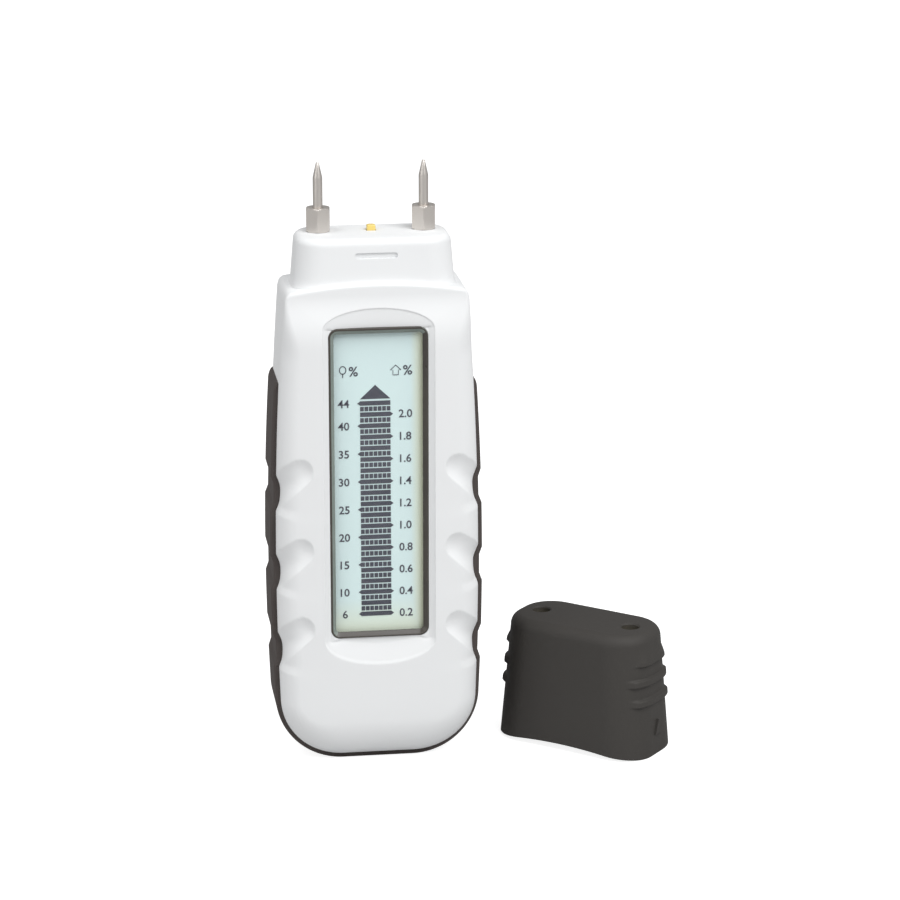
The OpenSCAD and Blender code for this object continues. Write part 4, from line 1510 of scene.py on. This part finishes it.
@dataclass
class BatteryDoor:
    """The round coin-slot door on the back."""

    plate_r: float = 12.9
    spigot_r: float = 12.12
    edge_r: float = 0.35
    slot_half: tuple[float, float] = (8.0, 1.0)
    slot_depth: float = 0.7

    def build(self) -> None:
        """Builds and dresses the door."""
        low, high = corners("battery_door")
        centre = (0.0, float(low[2] + high[2]) / 2)
        back, front = float(high[1]), float(low[1])
        plate_y = back - 1.1
        profile = [(0, back), (9.9, back), (10.05, back - 0.15), (10.5, back - 0.15), (10.65, back),
                   (self.plate_r - self.edge_r, back), (self.plate_r - 0.1, back - 0.1),
                   (self.plate_r, back - self.edge_r), (self.plate_r, plate_y), (self.spigot_r, plate_y),
                   (self.spigot_r, front), (self.spigot_r - 1, front), (self.spigot_r - 1, plate_y),
                   (0, plate_y)]
        plate = turned(profile, centre, along_y=True, steps=120).build("door_plate", 30.0)
        half_x, half_z = self.slot_half
        loop = rounded_loop(2 * half_x, 2 * half_z, 0.9, 10, 8) + np.array(centre)
        slot = Shape()
        slot.prism(loop, back - self.slot_depth, back + 1)
        shape = Shape()
        shape.absorb(carve(plate, [slot]))
        for way in (1, -1):
            ends = np.radians(np.linspace(-14, 14, 9))
            root_r = self.spigot_r - 0.4
            outer = [(way * self.plate_r * math.cos(a), self.plate_r * math.sin(a)) for a in ends]
            inner = [(way * root_r * math.cos(a), root_r * math.sin(a)) for a in ends[::-1]]
            shape.prism(np.array(outer + inner) + np.array(centre), front + 0.1, front + 0.8)
        place(shape.build("door_cover", 30.0), "battery_door", "door_plastic", DOOR_PLASTIC, ["battery_door"])


# ---------- cap ----------


@dataclass
class ProtectiveCap:
    """The black cap, standing mouth down beside the meter."""

    width: float = 38.4
    depth: float = 21.6
    taper_w: float = 0.133
    taper_d: float = 0.11
    corner_r: float = 8.0
    edge_r: float = 2.6
    roof: float = 1.6
    mouth_rise: float = 1.6
    hollow: tuple[float, float] = (35.6, 18.8)
    hollow_taper: tuple[float, float] = (0.156, 0.125)
    hollow_r: float = 6.0
    rib_zs: tuple[float, ...] = (13.1, 17.7, 22.3)
    rib_half: float = 1.05
    rib_proud: float = 0.7
    rib_reaches: tuple[float, ...] = (16.8, 16.0, 16.8)
    hole_r: float = 2.0
    hole_x: float = 11.5
    contact_r: float = 1.75
    post_side: float = 2.6
    post_y: float = 1.5
    post_low_z: float = 11.0
    ridge_half: float = 3.4
    ridge_zs: tuple[float, float] = (6.8, 7.6)
    ridge_ys: tuple[float, float] = (-9.9, -8.55)
    arrow_half: float = 1.4
    arrow_zs: tuple[float, float] = (4.8, 8.2)

    def stand(self) -> Matrix:
        """Where the cap stands and how it is turned, from the frame.

        Returns:
            The matrix from the cap's own lines to the model, in metres.
        """
        low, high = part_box("cap_shell")
        seen_low, seen_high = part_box("cap_test_contacts")
        reach = (seen_high - seen_low) / 2 - Vector((self.contact_r * MM,) * 3)
        turn = -math.atan2(reach.y, reach.x)
        middle = (low + high) / 2
        return Matrix.Translation((middle.x, middle.y, 0)) @ Matrix.Rotation(turn, 4, "Z")

    def build(self) -> None:
        """Builds and dresses the cap."""
        height = float(corners("cap_shell")[1][2])
        shell = Shape()
        shell.rows(self.shell_grid(height))
        piece = shell.build("cap_shell_form", 35.0)
        holes = []
        for x in (-self.hole_x, self.hole_x):
            low_z, top_z = height - self.roof - 1, height
            wide_r = self.hole_r + 0.3
            profile = [(0, low_z), (self.hole_r, low_z), (self.hole_r, top_z - 0.3),
                       (wide_r, top_z + 0.01), (wide_r, top_z + 1), (0, top_z + 1)]
            holes.append(turned(profile, (x, 0), steps=64))
        shape = Shape()
        shape.absorb(carve(piece, holes))
        self.fittings(shape, height)
        body = shape.build("cap_body", 35.0)
        body.data.transform(self.stand())
        place(body, "cap", "cap_plastic", CAP_PLASTIC, ["cap_shell"])

    def ribs(self, loop: np.ndarray, z: np.ndarray) -> np.ndarray:
        """How far the finger ribs stand out of the wall.

        Args:
            loop: The wall's ring, as (x, y) rows.
            z: Height of each of its points.

        Returns:
            The rise of each point.
        """
        rise = np.zeros(len(loop))
        for middle, reach in zip(self.rib_zs, self.rib_reaches):
            across = smooth((self.rib_half - np.abs(z - middle)) / 0.5)
            along = smooth((np.abs(loop[:, 0]) - reach) / 0.7 + 0.5)
            rise = np.maximum(rise, self.rib_proud * across * along)
        return rise

    def shell_grid(self, height: float) -> np.ndarray:
        """Rings of the cap from the middle of its hollow's roof, round the mouth, to the middle of its top.

        Args:
            height: Height of the cap.

        Returns:
            The grid of points.
        """
        roof_z, wall_top = height - self.roof, height - self.edge_r
        half = self.width / 2
        rings = []
        for z in np.linspace(roof_z, 0, 14):
            across = self.hollow[0] - self.hollow_taper[0] * z
            deep = self.hollow[1] - self.hollow_taper[1] * z
            loop = rounded_loop(across, deep, self.hollow_r, 16, 44)
            low = self.mouth_rise * (1 - (loop[:, 0] / half) ** 2)
            rings.append(np.column_stack([loop, low + (roof_z - low) * z / roof_z]))
        plain, ribbed = np.linspace(0.03, 0.34, 8), np.linspace(0.36, 0.86, 84)
        levels = np.concatenate([[0.0, 0.012], plain, ribbed, [0.93, 1.0]])
        for level in levels:
            z_plain = level * wall_top
            trim = 0.25 if level == 0.0 else 0.0
            loop = rounded_loop(self.width - self.taper_w * z_plain - 2 * trim,
                                self.depth - self.taper_d * z_plain - 2 * trim, self.corner_r - trim, 16, 44)
            low = self.mouth_rise * (1 - (loop[:, 0] / half) ** 2)
            z = low + (wall_top - low) * level
            rings.append(np.column_stack([loop + outward(loop) * self.ribs(loop, z)[:, None], z]))
        for angle in np.linspace(10, 90, 9):
            inset = self.edge_r * (1 - math.cos(math.radians(angle)))
            loop = rounded_loop(self.width - self.taper_w * wall_top - 2 * inset,
                                self.depth - self.taper_d * wall_top - 2 * inset,
                                self.corner_r - inset, 16, 44)
            z = wall_top + self.edge_r * math.sin(math.radians(angle))
            rings.append(np.column_stack([loop, np.full(len(loop), z)]))
        return np.array(rings)

    def fittings(self, shape: Shape, height: float) -> None:
        """Adds the post, the click ridge and the arrow.

        Args:
            shape: The cap's shape.
            height: Height of the cap.
        """
        post = rounded_loop(self.post_side, self.post_side, 0.3, 5, 3) + np.array([0, self.post_y])
        levels = (self.post_low_z, height - self.roof + 0.5)
        shape.rows(np.stack([np.column_stack([post, np.full(len(post), z)]) for z in levels]))
        half, (low_z, high_z) = self.ridge_half, self.ridge_zs
        ridge = np.array([(-half, low_z), (half, low_z), (half, high_z), (-half, high_z)])
        shape.prism(ridge, *self.ridge_ys)
        base_z, tip_z = self.arrow_zs
        arrow = np.array([(-self.arrow_half, base_z), (self.arrow_half, base_z), (0, tip_z)])
        near, far = self.width / 2 - 2, self.width / 2 + 0.05
        rings = [np.column_stack([np.full(3, x), arrow[:, 0], arrow[:, 1]]) for x in (near, far)]
        shape.rows(np.array(rings))


# ---------- carried-over pieces ----------


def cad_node(name: str) -> bpy.types.Object:
    """The CAD node of that name as it stands in the scene."""
    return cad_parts[name]


CARRIED: dict[str, Finish] = {
    "lcd_backlight": LIGHT_GUIDE, "lcd_holder": HOLDER_PLASTIC, "zebra_strips": ELASTOMER,
    "main_board": CIRCUIT_BOARD, "switch_board": CIRCUIT_BOARD, "cap_test_board": CIRCUIT_BOARD,
    "controller_chip": BLACK_EPOXY, "cap_switch": BLACK_EPOXY, "cap_test_resistors": BLACK_EPOXY,
    "board_components": COMPONENT_BODY, "quartz_crystal": CRYSTAL_CAN, "board_screws": SCREW_STEEL,
    "case_screws": SCREW_STEEL, "cap_board_screws": SCREW_STEEL, "left_terminal": NICKEL,
    "right_terminal": NICKEL, "terminal_strips": BRASS, "plunger_spring": SPRING_STEEL,
    "battery_cup": HOLDER_PLASTIC, "battery_plus_contact": NICKEL, "battery_minus_contact": NICKEL,
    "coin_cell_1": CELL_STEEL, "coin_cell_2": CELL_STEEL, "coin_cell_3": CELL_STEEL,
    "door_seal": SEAL_RUBBER, "door_pad": FOAM_PAD, "cap_test_contacts": GOLD,
}


def dress_carried() -> None:
    """Gives each CAD node that stays its finish."""
    for name, finish in CARRIED.items():
        dress(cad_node(name), finish.material())
        LOG.info("%s: dressed in %s", name, finish.name)


# ---------- studio ----------


@dataclass
class Studio:
    """The pale floor, the soft lights and the camera, in metres."""

    eye: tuple[float, float, float] = (-0.0773, -0.6786, 0.263)
    aim: tuple[float, float, float] = (0.0171, 0.0, 0.0689)
    lens: float = 128.8
    sensor: float = 36.0
    world_strength: float = 0.36
    floor_half: float = 4.0
    floor_glow: float = 0.85
    lamps: tuple[tuple[str, tuple[float, float, float], float, float], ...] = (
        ("key", (0.45, -0.6, 0.9), 0.8, 9.4),
        ("top", (-0.5, -0.1, 1.0), 0.6, 2.8),
        ("fill", (-1.0, -0.7, 0.5), 0.8, 2.5),
    )

    def build(self) -> None:
        """Sets up the floor, lights, world and camera."""
        bpy.context.scene.view_settings.view_transform = "Standard"
        self.floor()
        self.world()
        for lamp in self.lamps:
            self.light(*lamp)
        self.camera()

    def floor(self) -> None:
        """A plain pale floor with a trace of variation."""
        half = self.floor_half
        mesh = bpy.data.meshes.new("floor")
        edge = [(-half, -half, 0), (half, -half, 0), (half, half, 0), (-half, half, 0)]
        mesh.from_pydata(edge, [], [(0, 1, 2, 3)])
        floor = bpy.data.objects.new("floor", mesh)
        bpy.context.scene.collection.objects.link(floor)
        dress(floor, self.paper())

    def paper(self) -> bpy.types.Material:
        """The floor's matt white, lit from behind so that it stays white far away.

        Returns:
            The material.
        """
        made = Finish("floor_paper", (0.56, 0.56, 0.56), (0.53, 0.53, 0.53), 0.9, 0.02, 4.0, 0.005).material()
        graph = Graph(made.node_tree)
        shader = made.node_tree.nodes["Principled BSDF"]
        glow = graph.node("ShaderNodeEmission", {"Color": (1, 1, 1, 1), "Strength": self.floor_glow})
        both = graph.node("ShaderNodeAddShader", {0: shader.outputs[0], 1: glow.outputs[0]})
        seen = graph.node("ShaderNodeLightPath").outputs["Is Camera Ray"]
        mixed = graph.node("ShaderNodeMixShader", {0: seen, 1: shader.outputs[0], 2: both.outputs[0]})
        made.node_tree.links.new(mixed.outputs[0], made.node_tree.nodes["Material Output"].inputs["Surface"])
        return made

    def world(self) -> None:
        """An even white surround."""
        world = bpy.data.worlds.new("surround")
        world.use_nodes = True
        ground = world.node_tree.nodes["Background"]
        ground.inputs["Color"].default_value = (1.0, 1.0, 1.0, 1.0)
        ground.inputs["Strength"].default_value = self.world_strength
        bpy.context.scene.world = world

    def light(self, name: str, at: Sequence[float], size: float, power: float) -> None:
        """Adds a large soft lamp that points at the object.

        Args:
            name: Name of the lamp.
            at: Where it hangs.
            size: Its side.
            power: Its power in watts.
        """
        data = bpy.data.lights.new(name, "AREA")
        data.shape = "SQUARE"
        data.size = size
        data.energy = power
        lamp = bpy.data.objects.new(name, data)
        lamp.location = at
        lamp.rotation_euler = (Vector(self.aim) - Vector(at)).to_track_quat("-Z", "Y").to_euler()
        bpy.context.scene.collection.objects.link(lamp)

    def camera(self) -> None:
        """The camera, in front of the display, to its left and above it."""
        data = bpy.data.cameras.new("camera")
        data.lens = self.lens
        data.sensor_width = self.sensor
        camera = bpy.data.objects.new("camera", data)
        camera.location = self.eye
        camera.rotation_euler = (Vector(self.aim) - Vector(self.eye)).to_track_quat("-Z", "Y").to_euler()
        bpy.context.scene.collection.objects.link(camera)
        bpy.context.scene.camera = camera


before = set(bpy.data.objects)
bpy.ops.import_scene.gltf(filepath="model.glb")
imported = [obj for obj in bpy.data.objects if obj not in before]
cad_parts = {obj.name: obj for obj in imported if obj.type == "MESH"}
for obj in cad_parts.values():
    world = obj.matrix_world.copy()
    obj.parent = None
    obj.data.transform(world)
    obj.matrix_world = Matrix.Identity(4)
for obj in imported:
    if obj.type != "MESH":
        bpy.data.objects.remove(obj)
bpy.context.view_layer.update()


def main() -> None:
    """Builds the whole model."""
    logging.basicConfig(level=logging.INFO, format="%(name)s: %(message)s")
    form = BodyForm()
    Studio().build()
    Cases(form, Neck(form)).build()
    SideGrip(form).build()
    Display().build()
    Electrodes().build()
    PlungerButton().build()
    BatteryDoor().build()
    ProtectiveCap().build()
    dress_carried()


if __name__ == "__main__":
    main()
